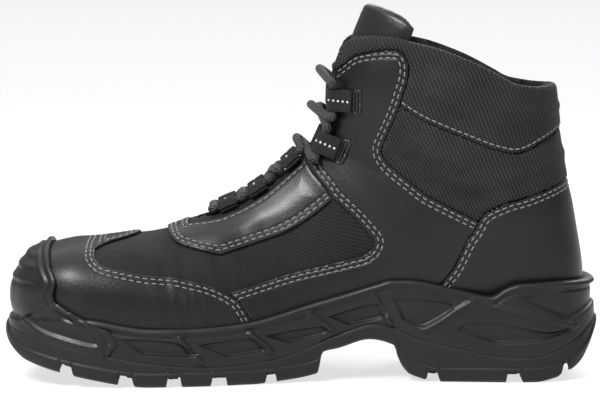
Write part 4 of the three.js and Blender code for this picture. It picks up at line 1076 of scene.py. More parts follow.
def close_sheet(bm: bmesh.types.BMesh, thickness: float, bevel: float = 0.3) -> None:
    """Gives a sheet its thickness, inwards along the layer out, and rounds its outer rim.

    Args:
        bm: the sheet.
        thickness: how thick it gets.
        bevel: size of the rounding, or 0 for none.
    """
    rim = {edge for edge in bm.edges if edge.is_boundary}
    grown = bmesh.ops.extrude_face_region(bm, geom=bm.faces[:], use_keep_orig=True)["geom"]
    layer = bm.verts.layers.float_vector["out"]
    for part in grown:
        if isinstance(part, bmesh.types.BMVert):
            part.co -= part[layer] * thickness
    bmesh.ops.recalc_face_normals(bm, faces=bm.faces)
    if bevel:
        bmesh.ops.bevel(
            bm, geom=[edge for edge in rim if edge.is_valid], offset=bevel, segments=2, affect="EDGES",
            profile=0.5, material=-1, clamp_overlap=True,
        )
    bm.verts.layers.float_vector.remove(bm.verts.layers.float_vector["out"])


def sole_plan(along: np.ndarray, inner_side: np.ndarray) -> np.ndarray:
    """Points of the sole's outline in plan, on either side."""
    half = np.where(inner_side, column(SOLE_PLAN, 1, along), column(SOLE_PLAN, 2, along)) * BALL_WIDTH

    def rounded(reach: np.ndarray, end: tuple[float, float]) -> np.ndarray:
        """Share of the width near a round end."""
        share, power = end
        return np.maximum(0.0, 1 - np.maximum(0.0, 1 - reach / share) ** power) ** (1 / power)

    ends = rounded(1 - along, TOE_ROUND) * rounded(along, HEEL_ROUND)
    centre = column(SOLE_SWING, 1, along) * BALL_WIDTH
    return np.stack([along_to_x(along), centre + np.where(inner_side, -1, 1) * half * ends], -1)


@dataclass
class SoleForm:
    """The sole's outline as an even closed line, with its heights and its outward directions."""

    cell: float = SOLE_CELL

    def __post_init__(self) -> None:
        """Samples the outline from the heel along the inner side to the toe and back."""
        phase = np.linspace(0, 2 * np.pi, 8001)
        along = 0.5 - 0.5 * np.cos(phase)
        line = sole_plan(along, phase < np.pi)
        run = np.concatenate(([0.0], np.cumsum(np.linalg.norm(np.diff(line, axis=0), axis=1))))
        half = int(run[4000] / self.cell)
        wanted = np.concatenate((np.linspace(0, run[4000], half + 1), np.linspace(run[4000], run[-1], half + 1)[1:-1]))
        spot = np.interp(wanted, run, phase)
        self.half = half
        self.inner = spot < np.pi
        self.plan = sole_plan(0.5 - 0.5 * np.cos(spot), self.inner)
        ahead = unit(np.roll(self.plan, -1, 0) - np.roll(self.plan, 1, 0))
        self.outward = np.stack([-ahead[:, 1], ahead[:, 0]], 1)

    def wall(self, share: np.ndarray, low: np.ndarray, high: np.ndarray, out: np.ndarray) -> np.ndarray:
        """Points up the side wall.

        Args:
            share: how far up the whole side each row is, for each point of the outline.
            low: height of the ground line.
            high: height of the rim line.
            out: distance from the form.

        Returns:
            One row of points for each row of shares.
        """
        wall = column(SOLE_WALL, 1, share) + out
        plan = self.plan + self.outward * wall[..., None]
        along = (HEEL_REACH - plan[..., 0]) / LENGTH
        tuck = column(SOLE_PLAN, 3, along) * BALL_WIDTH * (1 - np.clip(share, 0, 1))
        side = plan[..., 1] - np.sign(plan[..., 1]) * tuck
        return np.stack([plan[..., 0], side, low + share * (high - low)], -1)

    def line(self, table: np.ndarray) -> np.ndarray:
        """Height of a side line at each point of the outline."""
        along = (HEEL_REACH - self.plan[:, 0]) / LENGTH
        return column(table, 1, along) * RIM_HEIGHT


def segment_distance(places: np.ndarray, start: np.ndarray, end: np.ndarray) -> np.ndarray:
    """Distance from places to a straight piece of line."""
    return line_distance(places, np.array([start, end]), False)[0]


def ring_mesh(points: np.ndarray, merge: float = 1e-3) -> bmesh.types.BMesh:
    """A bmesh of a grid that closes on itself in both directions."""
    closed = np.concatenate((points, points[:1]), 0)
    closed = np.concatenate((closed, closed[:, :1]), 1)
    bm = grid_mesh(closed)
    bmesh.ops.remove_doubles(bm, verts=bm.verts, dist=merge)
    bmesh.ops.recalc_face_normals(bm, faces=bm.faces)
    return bm


@dataclass
class Midsole:
    """The moulded side wall between the outsole and the upper, with its sunk panels, ribs and rim."""

    form: SoleForm
    rows: int = 52

    def relief(self, points: np.ndarray) -> np.ndarray:
        """How far the moulding stands out of the wall or sinks into it."""
        places = points[..., [0, 2]]
        sunk = np.zeros(places.shape[:-1])
        for run in SIDE_RECESSES:
            line = side_line(run, rim_to_z)
            line = closed_line(spline(np.concatenate((line, line[:1])), 1))
            distance, _ = line_distance(places, line, True)
            signed = np.where(inside(places, line), distance, -distance)
            bottom = line[:, 1].min()
            top = line[:, 1].max()
            fade = 1.0 - 0.55 * smooth(bottom, top, places[..., 1])
            sunk = np.maximum(sunk, (RECESS_DEPTH + 0.9) * fade * smooth(-0.5, 0.7, signed))
        raised = np.zeros(places.shape[:-1])
        for start, end in SIDE_RIBS:
            a, b = (np.array([along_to_x(along), rim_to_z(up)]) for along, up in (start, end))
            distance = segment_distance(places, a, b)
            raised = np.maximum(raised, 1.35 * RIB_HEIGHT * (1 - smooth(RIB_WIDTH * 0.35, RIB_WIDTH * 0.75, distance)))
        return raised - sunk

    def build(self, last_tree: BVHTree) -> bpy.types.Object:
        """Builds the wall from the outsole's edge over the rim to the leather."""
        form = self.form
        ground, wrap, rim = form.line(GROUND_LINE), form.line(WRAP_LINE) - 1.2, form.line(RIM_LINE)
        level = np.linspace(0, 1, self.rows)[:, None]
        share = ((wrap + level * (rim - wrap)) - ground) / (rim - ground)
        flat = form.wall(share, ground, rim, 0.0)
        along = (HEEL_REACH - flat[..., 0]) / LENGTH
        rear = np.array((*CAP_REAR[-3:], *CAP_CORNER[1:]))[::-1]
        under_cap = smooth(0.002, 0.012, along - np.interp(flat[..., 2], up_to_z(rear[:, 1]), rear[:, 0]))
        height = level * (rim - wrap)
        to_rim = (1 - level) * (rim - wrap)
        out = self.relief(flat) * smooth(0.5, 3.0, to_rim) * (1 - under_cap)
        out = out + 0.95 * hill(to_rim - 1.2, 1.2) - 0.5 * hill(to_rim - 3.9, 0.9)
        out = out - 0.7 * (1 - smooth(0.0, 2.4, height)) - 3.6 * under_cap
        wall = form.wall(share, ground, rim, out)
        top = wall[-1]
        inward = -np.concatenate((form.outward, np.zeros((len(top), 1))), 1)
        lip = self.lip_line(top, inward, last_tree)
        shoulder = [top + inward * (lip * part)[:, None] + np.array([0, 0, rise])
                    for part, rise in ((0.10, 0.45), (0.30, 0.75), (0.62, 0.70), (0.92, 0.2))]
        inner = top + inward * (lip + 0.6)[:, None]
        floor = inner - np.array([0, 0, 6.0])
        low = wall[0] + inward * 4.0
        rings = np.concatenate((wall, np.stack(shoulder), inner[None], floor[None], low[None]))
        return to_object("midsole_wall", ring_mesh(rings))

    def lip_line(self, top: np.ndarray, inward: np.ndarray, last_tree: BVHTree) -> np.ndarray:
        """How far the rim's lip reaches in to the leather at each point."""
        reach = []
        for place, direction in zip(top, inward):
            hit = last_tree.ray_cast(Vector(place + np.array([0, 0, 0.5])), Vector(direction), 30.0)
            reach.append(min(hit[3] + 0.3, 16.0) if hit[0] is not None else 4.0)
        padded = np.concatenate((reach[-4:], reach, reach[:4]))
        return np.convolve(padded, np.ones(9) / 9, "valid")


@dataclass
class Outsole:
    """The rubber tread: edge lugs, centre lugs, and the skin that wraps up the side, toe and heel."""

    form: SoleForm
    wall_rows: int = 36
    bottom_rows: int = 96

    def groove(self, x: np.ndarray, y: np.ndarray, edge_distance: np.ndarray) -> np.ndarray:
        """How deep the tread is cut, as a share of the lugs' depth."""
        cut = np.zeros(x.shape)
        for along, width in EDGE_GROOVES:
            across = smooth(width / 2 + 0.5, width / 2 - 0.5, np.abs(x - along_to_x(along)))
            cut = np.maximum(cut, across * smooth(EDGE_LUG_REACH + 0.6, EDGE_LUG_REACH - 0.6, edge_distance))
        ring = np.abs(edge_distance - EDGE_LUG_REACH - CHANNEL / 2)
        cut = np.maximum(cut, smooth(CHANNEL / 2 + 0.5, CHANNEL / 2 - 0.5, ring))
        middle = column(SOLE_SWING, 1, (HEEL_REACH - x) / LENGTH) * BALL_WIDTH
        for along, lean in CENTRE_GROOVES:
            drift = np.tan(math.radians(lean)) * np.abs(y - middle)
            away = np.abs(x - along_to_x(along) - drift + 4.0) * math.cos(math.radians(lean))
            centre = smooth(EDGE_LUG_REACH - 0.6, EDGE_LUG_REACH + 0.6, edge_distance)
            cut = np.maximum(cut, centre * smooth(CENTRE_GROOVE_WIDTH / 2 + 0.5, CENTRE_GROOVE_WIDTH / 2 - 0.5, away))
        return cut

    def build(self) -> bpy.types.Object:
        """Builds the closed body from sections across the sole."""
        form = self.form
        ground, wrap, rim = form.line(GROUND_LINE), form.line(WRAP_LINE), form.line(RIM_LINE)
        x = form.plan[:, 0]
        notch = self.groove(x, form.plan[:, 1], np.zeros(len(x)))
        low = ground + LUG_DEPTH * notch
        level = np.linspace(0, 1, self.wall_rows)[:, None]
        height = low + level * (wrap - low)
        share = (height - ground) / (rim - ground)
        out = 0.35 * smooth(0.0, 1.4, (1 - level) * (wrap - low)) - 0.9 * (1 - smooth(0.0, 1.6, level * (wrap - low)))
        lug_face = smooth(LUG_DEPTH + 2.2, LUG_DEPTH + 1.4, height - ground)
        out = out + 0.85 * lug_face * smooth(0.2, 1.2, height - ground)
        wall = form.wall(share, ground, rim, out)
        half = form.half
        inner = wall[:, :half + 1]
        outer = np.concatenate((wall[:, half:], wall[:, :1]), 1)[:, ::-1]
        blend = np.linspace(0, 1, self.bottom_rows)[1:-1, None, None]
        bottom = inner[0][None] * (1 - blend) + outer[0][None] * blend
        span = np.linalg.norm(outer[0] - inner[0], axis=1)
        edge = np.minimum(blend[..., 0], 1 - blend[..., 0]) * span
        tip = np.minimum(bottom[..., 0] - (HEEL_REACH - LENGTH), HEEL_REACH - bottom[..., 0])
        edge = np.minimum(edge, np.maximum(tip, 0.0))
        line = column(GROUND_LINE, 1, (HEEL_REACH - bottom[..., 0]) / LENGTH) * RIM_HEIGHT
        bottom[..., 2] = line + LUG_DEPTH * self.groove(bottom[..., 0], bottom[..., 1], edge)
        section = np.concatenate((inner[::-1], bottom, outer), 0)
        lid = np.linspace(1, 0, 14)[1:-1, None, None]
        top = inner[-1][None] * (1 - lid) + outer[-1][None] * lid
        rings = np.concatenate((section, top), 0)
        closed = np.concatenate((rings, rings[:1]), 0)
        bm = grid_mesh(closed)
        bmesh.ops.remove_doubles(bm, verts=bm.verts, dist=0.02)
        bmesh.ops.recalc_face_normals(bm, faces=bm.faces)
        return to_object("outsole_tread", bm)


@dataclass
class ScuffCap:
    """The moulded cap over the toe, with a raised double ridge along its rear edge."""

    last: Surface
    form: SoleForm
    centre: tuple[float, float, float] = (-208.0, -5.0, 30.0)
    ridge: float = 1.0
    front_ridges: tuple[float, ...] = (54.5, 61.0, 66.5)

    def sole_tree(self) -> BVHTree:
        """Search tree of the whole side wall at the toe."""
        form = self.form
        ground, rim = form.line(GROUND_LINE), form.line(RIM_LINE)
        share = np.linspace(0.0, 1.0, 24)[:, None] + np.zeros(len(ground))
        wall = form.wall(share, ground, rim, GAP)
        closed = np.concatenate((wall, wall[:, :1]), 1)
        return Surface(closed, np.zeros(closed.shape), closed[..., 0]).tree()

    def region(self) -> Region:
        """Side outline of the cap, down to the outsole's edge."""
        alongs = np.linspace(0.822, 0.999, 14)
        lower = np.stack([along_to_x(alongs), column(WRAP_LINE, 1, alongs) * RIM_HEIGHT - 0.8], 1)
        front = np.array([[along_to_x(1.06), 28.0], [along_to_x(1.06), up_to_z(0.48)]])
        return Region(closed_line(side_line(CAP_REAR), side_line(CAP_CORNER), lower, front))

    def build(self) -> bpy.types.Object:
        """Casts rays from inside the toe to the outermost of the last and the sole."""
        out = GAP + VAMP_LEATHER + GAP + CAP_WALL
        trees = (self.last.tree(out), self.sole_tree())
        centre = np.array(self.centre)
        azimuth = np.radians(np.arange(-112, 112.1, 1.05))
        elevation = np.radians(np.arange(-42, 82.1, 1.0))
        a, e = np.meshgrid(azimuth, elevation, indexing="ij")
        rays = np.stack([-np.cos(a) * np.cos(e), np.sin(a) * np.cos(e), np.sin(e)], -1)
        reach = np.zeros(a.shape)
        for index in np.ndindex(a.shape):
            found = [tree.ray_cast(Vector(centre), Vector(rays[index]), 200.0)[3] or 0.0 for tree in trees]
            gap = abs(found[0] - found[1])
            reach[index] = max(found) + max(0.0, 2.5 - gap) ** 2 / 10.0
        beside = (reach[:-2] + reach[2:]) / 2
        reach[1:-1] = np.maximum(reach[1:-1], beside - 0.6)
        points = centre + rays * reach[..., None]
        normals = grid_normals(points)
        normals *= np.sign((normals * rays).sum(-1, keepdims=True))
        region = self.region()
        distance, toward = region.measure(points)
        tangent, share = slope_share(toward, normals)
        depth = distance / share
        rear = np.concatenate((side_line(CAP_REAR), side_line(CAP_CORNER)))
        off, _ = line_distance(points[..., [0, 2]], rear, False)
        panel = Region(closed_line(side_line(CAP_PANEL + CAP_PANEL[:1])))
        panel_in, _ = panel.measure(points)
        rise = self.ridge * hill(off - 1.5, 1.3) - 0.5 * hill(off - 3.9, 0.8) + 0.45 * hill(off - 5.6, 1.0)
        rise = rise - 1.1 * smooth(-0.4, 1.4, panel_in) + 0.35 * hill(panel_in + 1.2, 0.9)
        front = smooth(-236.0, -246.0, points[..., 0])
        for height in self.front_ridges:
            rise = rise + front * (0.55 * hill(points[..., 2] - height, 0.9) - 0.3 * hill(points[..., 2] - height + 2.2, 0.9))
        shaped = points + normals * rise[..., None]
        moved, keep = snap(shaped, tangent / share[..., None] ** 2, distance, depth, 0.95)
        bm = grid_mesh(moved, keep, normals=normals)
        close_sheet(bm, CAP_WALL, 0.45)
        return to_object("scuff_cap_moulding", bm)


class Finish:
    """A node material under construction, with short calls for its nodes."""

    def __init__(self, name: str) -> None:
        """Starts a material with its principled shader."""
        self.material = bpy.data.materials.new(name)
        self.material.use_nodes = True
        self.tree = self.material.node_tree
        self.shader = self.tree.nodes["Principled BSDF"]

    def node(self, kind: str, **settings: object) -> bpy.types.Node:
        """Adds a node with its settings and its input values."""
        made = self.tree.nodes.new(kind)
        inputs = settings.pop("inputs", {})
        for key, value in settings.items():
            setattr(made, key, value)
        for key, value in inputs.items():
            self.put(made, key, value)
        return made

    def put(self, node: bpy.types.Node, key: object, value: object) -> None:
        """Sets one input of a node, with a number or another node's output."""
        socket = node.inputs[key]
        if isinstance(value, bpy.types.NodeSocket):
            self.tree.links.new(value, socket)
        elif isinstance(value, bpy.types.Node):
            self.tree.links.new(value.outputs[0], socket)
        else:
            socket.default_value = value

    def math(self, operation: str, a: object, b: object = 0.0, c: object = 0.0) -> bpy.types.NodeSocket:
        """A sum, product or other step on numbers."""
        return self.node("ShaderNodeMath", operation=operation, inputs={0: a, 1: b, 2: c}).outputs[0]

    def span(self, value: object, low: float, high: float, start: float = 0.0, end: float = 1.0) -> bpy.types.NodeSocket:
        """Moves a number smoothly from one range to another."""
        ranged = self.node("ShaderNodeMapRange", interpolation_type="SMOOTHSTEP")
        for key, number in (("Value", value), ("From Min", low), ("From Max", high), ("To Min", start), ("To Max", end)):
            self.put(ranged, key, number)
        return ranged.outputs[0]

    def noise(self, place: object, scale: float, detail: float = 3.0, rough: float = 0.55) -> bpy.types.NodeSocket:
        """Cloudy noise at a place."""
        made = self.node("ShaderNodeTexNoise", inputs={"Vector": place, "Scale": scale, "Detail": detail, "Roughness": rough})
        return made.outputs[0]

    def cells(self, place: object, scale: float, feature: str = "SMOOTH_F1") -> bpy.types.NodeSocket:
        """Distance pattern of scattered cells."""
        made = self.node("ShaderNodeTexVoronoi", feature=feature, inputs={"Vector": place, "Scale": scale})
        return made.outputs["Distance"]

    def place(self) -> bpy.types.NodeSocket:
        """The piece's own coordinates, in metres."""
        return self.node("ShaderNodeTexCoord").outputs["Object"]

    def map(self, turn: float = 0.0, scale: tuple[float, float] = (1.0, 1.0)) -> bpy.types.Node:
        """The piece's own map in millimetres, turned and scaled, split into its two numbers."""
        source = self.node("ShaderNodeUVMap", uv_map="cloth_map")
        mapped = self.node("ShaderNodeMapping", inputs={"Vector": source})
        mapped.inputs["Rotation"].default_value = (0.0, 0.0, math.radians(turn))
        mapped.inputs["Scale"].default_value = (*scale, 1.0)
        return self.node("ShaderNodeSeparateXYZ", inputs={0: mapped})

    def value(self, name: str) -> bpy.types.NodeSocket:
        """A number that the mesh holds at each vertex."""
        return self.node("ShaderNodeAttribute", attribute_name=name).outputs["Fac"]

    def colour(self, share: object, dark: tuple, light: tuple) -> bpy.types.NodeSocket:
        """A colour between two."""
        mix = self.node("ShaderNodeMix", data_type="RGBA")
        self.put(mix, "Factor", share)
        self.put(mix, 6, (*dark, 1.0))
        self.put(mix, 7, (*light, 1.0))
        return mix.outputs[2]

    def bump(self, height: object, distance: float, strength: float, onto: object = None) -> bpy.types.NodeSocket:
        """Relief from a height, on top of other relief."""
        made = self.node("ShaderNodeBump", inputs={"Height": height, "Distance": distance, "Strength": strength})
        if onto is not None:
            self.put(made, "Normal", onto)
        return made.outputs[0]

    def done(self, colour: object, rough: object, normal: object = None, **sockets: float) -> bpy.types.Material:
        """Joins the shader's inputs and returns the material."""
        self.put(self.shader, "Base Color", colour)
        self.put(self.shader, "Roughness", rough)
        if normal is not None:
            self.put(self.shader, "Normal", normal)
        for key, value in sockets.items():
            self.put(self.shader, key.replace("_", " "), value)
        return self.material


@dataclass(frozen=True)
class Leather:
    """Smooth grain leather: fine pebbles, pores, soft clouds of gloss, sewn grooves darkened with painted shade, and a
    painted highlight along the cut edge.
    """

    name: str = "leather"
    dark: tuple[float, float, float] = (0.0045, 0.0045, 0.0052)
    light: tuple[float, float, float] = (0.013, 0.013, 0.0145)
    rough: tuple[float, float] = (0.34, 0.48)
    coat: float = 0.10
    rows: tuple[float, ...] = (1.9, 4.2)

    def build(self) -> bpy.types.Material:
        """Builds the material."""
        f = Finish(self.name)
        place = f.place()
        clouds = f.noise(place, 28.0, 3.0)
        grain = f.cells(place, 900.0)
        fine = f.noise(place, 1700.0, 2.0)
        pores = f.noise(place, 420.0, 4.0, 0.62)
        edge = f.value("edge")
        seam = f.value("seam")
        grooves = None
        for row in self.rows:
            off = f.math("ABSOLUTE", f.math("SUBTRACT", seam, row))
            near = f.span(off, 0.0, 0.85, -1.0, 0.0)
            grooves = near if grooves is None else f.math("MINIMUM", grooves, near)
        # Painted highlight: the colour is lighter within about a millimetre of the piece's cut edge.
        painted_edge_highlight = f.span(edge, 0.0, 1.1, 0.55, 0.0)
        shade = f.math("ADD", f.math("MULTIPLY", clouds, 0.75), painted_edge_highlight)
        # Painted shade: the colour is darkened along the sewn grooves.
        shade = f.math("MULTIPLY", shade, f.math("MULTIPLY_ADD", grooves, 0.8, 1.0))
        normal = f.bump(grain, 0.00022, 0.30)
        normal = f.bump(fine, 0.00010, 0.35, normal)
        normal = f.bump(pores, 0.00035, 0.30, normal)
        normal = f.bump(grooves, 0.00045, 0.8, normal)
        rough = f.span(f.math("ADD", f.math("MULTIPLY", clouds, 0.7), f.math("MULTIPLY", pores, 0.3)),
                       0.30, 0.70, *self.rough)
        return f.done(f.colour(shade, self.dark, self.light), rough, normal, Coat_Weight=self.coat,
                      Coat_Roughness=0.30, Specular_IOR_Level=0.25)


@dataclass(frozen=True)
class WovenCloth:
    """Cloth of threads that pass over and under each other, drawn on the piece's own map."""

    name: str
    pitch: float
    turn: float
    dark: tuple[float, float, float] = (0.0015, 0.0015, 0.0017)
    light: tuple[float, float, float] = (0.030, 0.030, 0.032)
    depth: float = 0.0005
    strength: float = 1.0
    rough: float = 0.70

    def build(self) -> bpy.types.Material:
        """Builds the material."""
        f = Finish(self.name)
        split = f.map(self.turn, (1.0 / self.pitch, 1.0 / self.pitch))
        u, v = split.outputs[0], split.outputs[1]
        warp = f.math("ABSOLUTE", f.math("SINE", f.math("MULTIPLY", u, math.pi)))
        weft = f.math("ABSOLUTE", f.math("SINE", f.math("MULTIPLY", v, math.pi)))
        phase = f.math("ADD", f.math("FLOOR", u), f.math("FLOOR", v))
        over = f.math("PINGPONG", phase, 1.0)
        lit = f.math("MULTIPLY", warp, f.math("ADD", f.math("MULTIPLY", over, 0.65), 0.35))
        low = f.math("MULTIPLY", weft, f.math("SUBTRACT", 1.0, f.math("MULTIPLY", over, 0.65)))
        height = f.math("MULTIPLY", lit, low)
        fibre = f.noise(f.place(), 2600.0, 2.0)
        clouds = f.noise(f.place(), 45.0, 2.0)
        # Painted light: the colour follows the weave's height, lighter as a painted highlight on the raised threads and
        # darker as painted shade between them.
        share = f.math("MULTIPLY_ADD", height, 1.35, f.math("MULTIPLY", f.math("SUBTRACT", clouds, 0.5), 0.25))
        normal = f.bump(height, self.depth, self.strength)
        normal = f.bump(fibre, 0.00012, 0.5, normal)
        return f.done(f.colour(share, self.dark, self.light), self.rough, normal, Sheen_Weight=0.04,
                      Sheen_Roughness=0.4, Specular_IOR_Level=0.20)


@dataclass(frozen=True)
class Moulded:
    """Moulded rubber or polyurethane: fine matt grain and soft clouds of tone and gloss."""

    name: str
    dark: tuple[float, float, float] = (0.0055, 0.0055, 0.006)
    light: tuple[float, float, float] = (0.013, 0.013, 0.014)
    rough: tuple[float, float] = (0.42, 0.60)
    grain: float = 1400.0
    depth: float = 0.00012
    strength: float = 0.35

    def build(self) -> bpy.types.Material:
        """Builds the material."""
        f = Finish(self.name)
        place = f.place()
        clouds = f.noise(place, 34.0, 3.0)
        grain = f.noise(place, self.grain, 2.0)
        stipple = f.cells(place, self.grain * 0.7)
        scuffs = f.noise(place, 160.0, 5.0, 0.7)
        normal = f.bump(grain, self.depth, self.strength)
        normal = f.bump(stipple, self.depth, self.strength * 0.6, normal)
        rough = f.span(f.math("ADD", f.math("MULTIPLY", clouds, 0.6), f.math("MULTIPLY", scuffs, 0.4)),
                       0.32, 0.68, *self.rough)
        return f.done(f.colour(clouds, self.dark, self.light), rough, normal, Specular_IOR_Level=0.30)


@dataclass(frozen=True)
class Thread:
    """Twisted sewing thread or braided lace, with fine fibres in its colour and relief."""

    name: str
    dark: tuple[float, float, float]
    light: tuple[float, float, float]
    rough: float = 0.6

    def build(self) -> bpy.types.Material:
        """Builds the material."""
        f = Finish(self.name)
        place = f.place()
        fibre = f.noise(place, 1800.0, 3.0)
        return f.done(f.colour(fibre, self.dark, self.light), self.rough, f.bump(fibre, 0.00015, 0.6),
                      Sheen_Weight=0.15, Sheen_Roughness=0.4)


@dataclass(frozen=True)
class BraidedLace:
    """A round lace braided from two sets of yarns, drawn on its own map."""

    name: str = "lace"
    pitch: float = LACE_SIDES * LACE_DIAMETER * math.sin(math.pi / LACE_SIDES) / LACE_YARNS

    def build(self) -> bpy.types.Material:
        """Builds the material."""
        f = Finish(self.name)
        split = f.map(0.0, (1.0 / self.pitch, 1.0 / self.pitch))
        u, v = split.outputs[0], split.outputs[1]
        left = f.math("ABSOLUTE", f.math("SINE", f.math("MULTIPLY", f.math("ADD", u, v), math.pi / 2)))
        right = f.math("ABSOLUTE", f.math("SINE", f.math("MULTIPLY", f.math("SUBTRACT", u, v), math.pi / 2)))
        height = f.math("MAXIMUM", left, right)
        fibre = f.noise(f.place(), 2400.0, 2.0)
        normal = f.bump(height, 0.0007, 1.0)
        normal = f.bump(fibre, 0.00012, 0.6, normal)
        # Painted light: the colour follows the braid's height, lighter as a painted highlight on the yarn crowns and
        # darker as painted shade between them.
        share = f.span(height, 0.55, 1.0)
        return f.done(f.colour(share, (0.0018, 0.0018, 0.0020), (0.021, 0.021, 0.0225)), 0.62, normal,
                      Sheen_Weight=0.08, Sheen_Roughness=0.35)


@dataclass(frozen=True)
class Plain:
    """A small part's finish: one colour with fine grain."""

    name: str
    dark: tuple[float, float, float]
    light: tuple[float, float, float]
    rough: float

    def build(self) -> bpy.types.Material:
        """Builds the material."""
        f = Finish(self.name)
        noise = f.noise(f.place(), 1200.0, 2.0)
        return f.done(f.colour(noise, self.dark, self.light), self.rough, f.bump(noise, 0.0001, 0.3))


def dress(thing: bpy.types.Object, material: bpy.types.Material, slot: str | None, *nodes: str) -> bpy.types.Object:
    """Gives a piece its material and body, and hides the frame's parts for the nodes that it stands for."""
    thing.data.materials.clear()
    thing.data.materials.append(material)
    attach(thing, ROOT)
    if nodes:
        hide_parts(*nodes)
    LOG.info("%s: %d faces", thing.name, len(thing.data.polygons))
    return thing


@dataclass
class Palette:
    """Every finish of the boot."""

    leather: bpy.types.Material = None
    facing: bpy.types.Material = None
    cloth: bpy.types.Material = None
    collar: bpy.types.Material = None
    lining: bpy.types.Material = None
    midsole: bpy.types.Material = None
    outsole: bpy.types.Material = None
    cap: bpy.types.Material = None
    thread: bpy.types.Material = None
    lace: bpy.types.Material = None
    webbing: bpy.types.Material = None
    dot: bpy.types.Material = None
    felt: bpy.types.Material = None
    tongue: bpy.types.Material = None

    def __post_init__(self) -> None:
        """Builds the materials."""
        self.leather = Leather().build()
        self.facing = Leather("facing_leather", light=(0.018, 0.018, 0.020), rough=(0.31, 0.44), coat=0.15).build()
        self.tongue = Leather("tongue_leather", rough=(0.30, 0.42), rows=(99.0,)).build()
        self.cloth = WovenCloth("side_cloth", 1.15, 40.0, depth=0.0004, strength=0.9).build()
        self.collar = WovenCloth("collar_cloth", 1.55, 35.0, light=(0.072, 0.072, 0.076), depth=0.0009).build()
        self.lining = WovenCloth("lining_cloth", 1.2, 40.0, light=(0.055, 0.055, 0.058)).build()
        self.midsole = Moulded("midsole_polyurethane", rough=(0.36, 0.52)).build()
        self.outsole = Moulded("outsole_rubber", rough=(0.48, 0.64)).build()
        self.cap = Moulded("cap_polyurethane", rough=(0.32, 0.48)).build()
        self.thread = Thread("seam_thread", (0.08, 0.08, 0.084), (0.21, 0.21, 0.22)).build()
        self.lace = BraidedLace().build()
        self.webbing = WovenCloth("webbing", 1.0, 0.0, light=(0.055, 0.055, 0.058), depth=0.0007).build()
        self.dot = Plain("reflective_dot", (0.36, 0.36, 0.365), (0.58, 0.58, 0.585), 0.4).build()
        self.felt = Plain("insole_felt", (0.025, 0.025, 0.026), (0.05, 0.05, 0.052), 0.9).build()


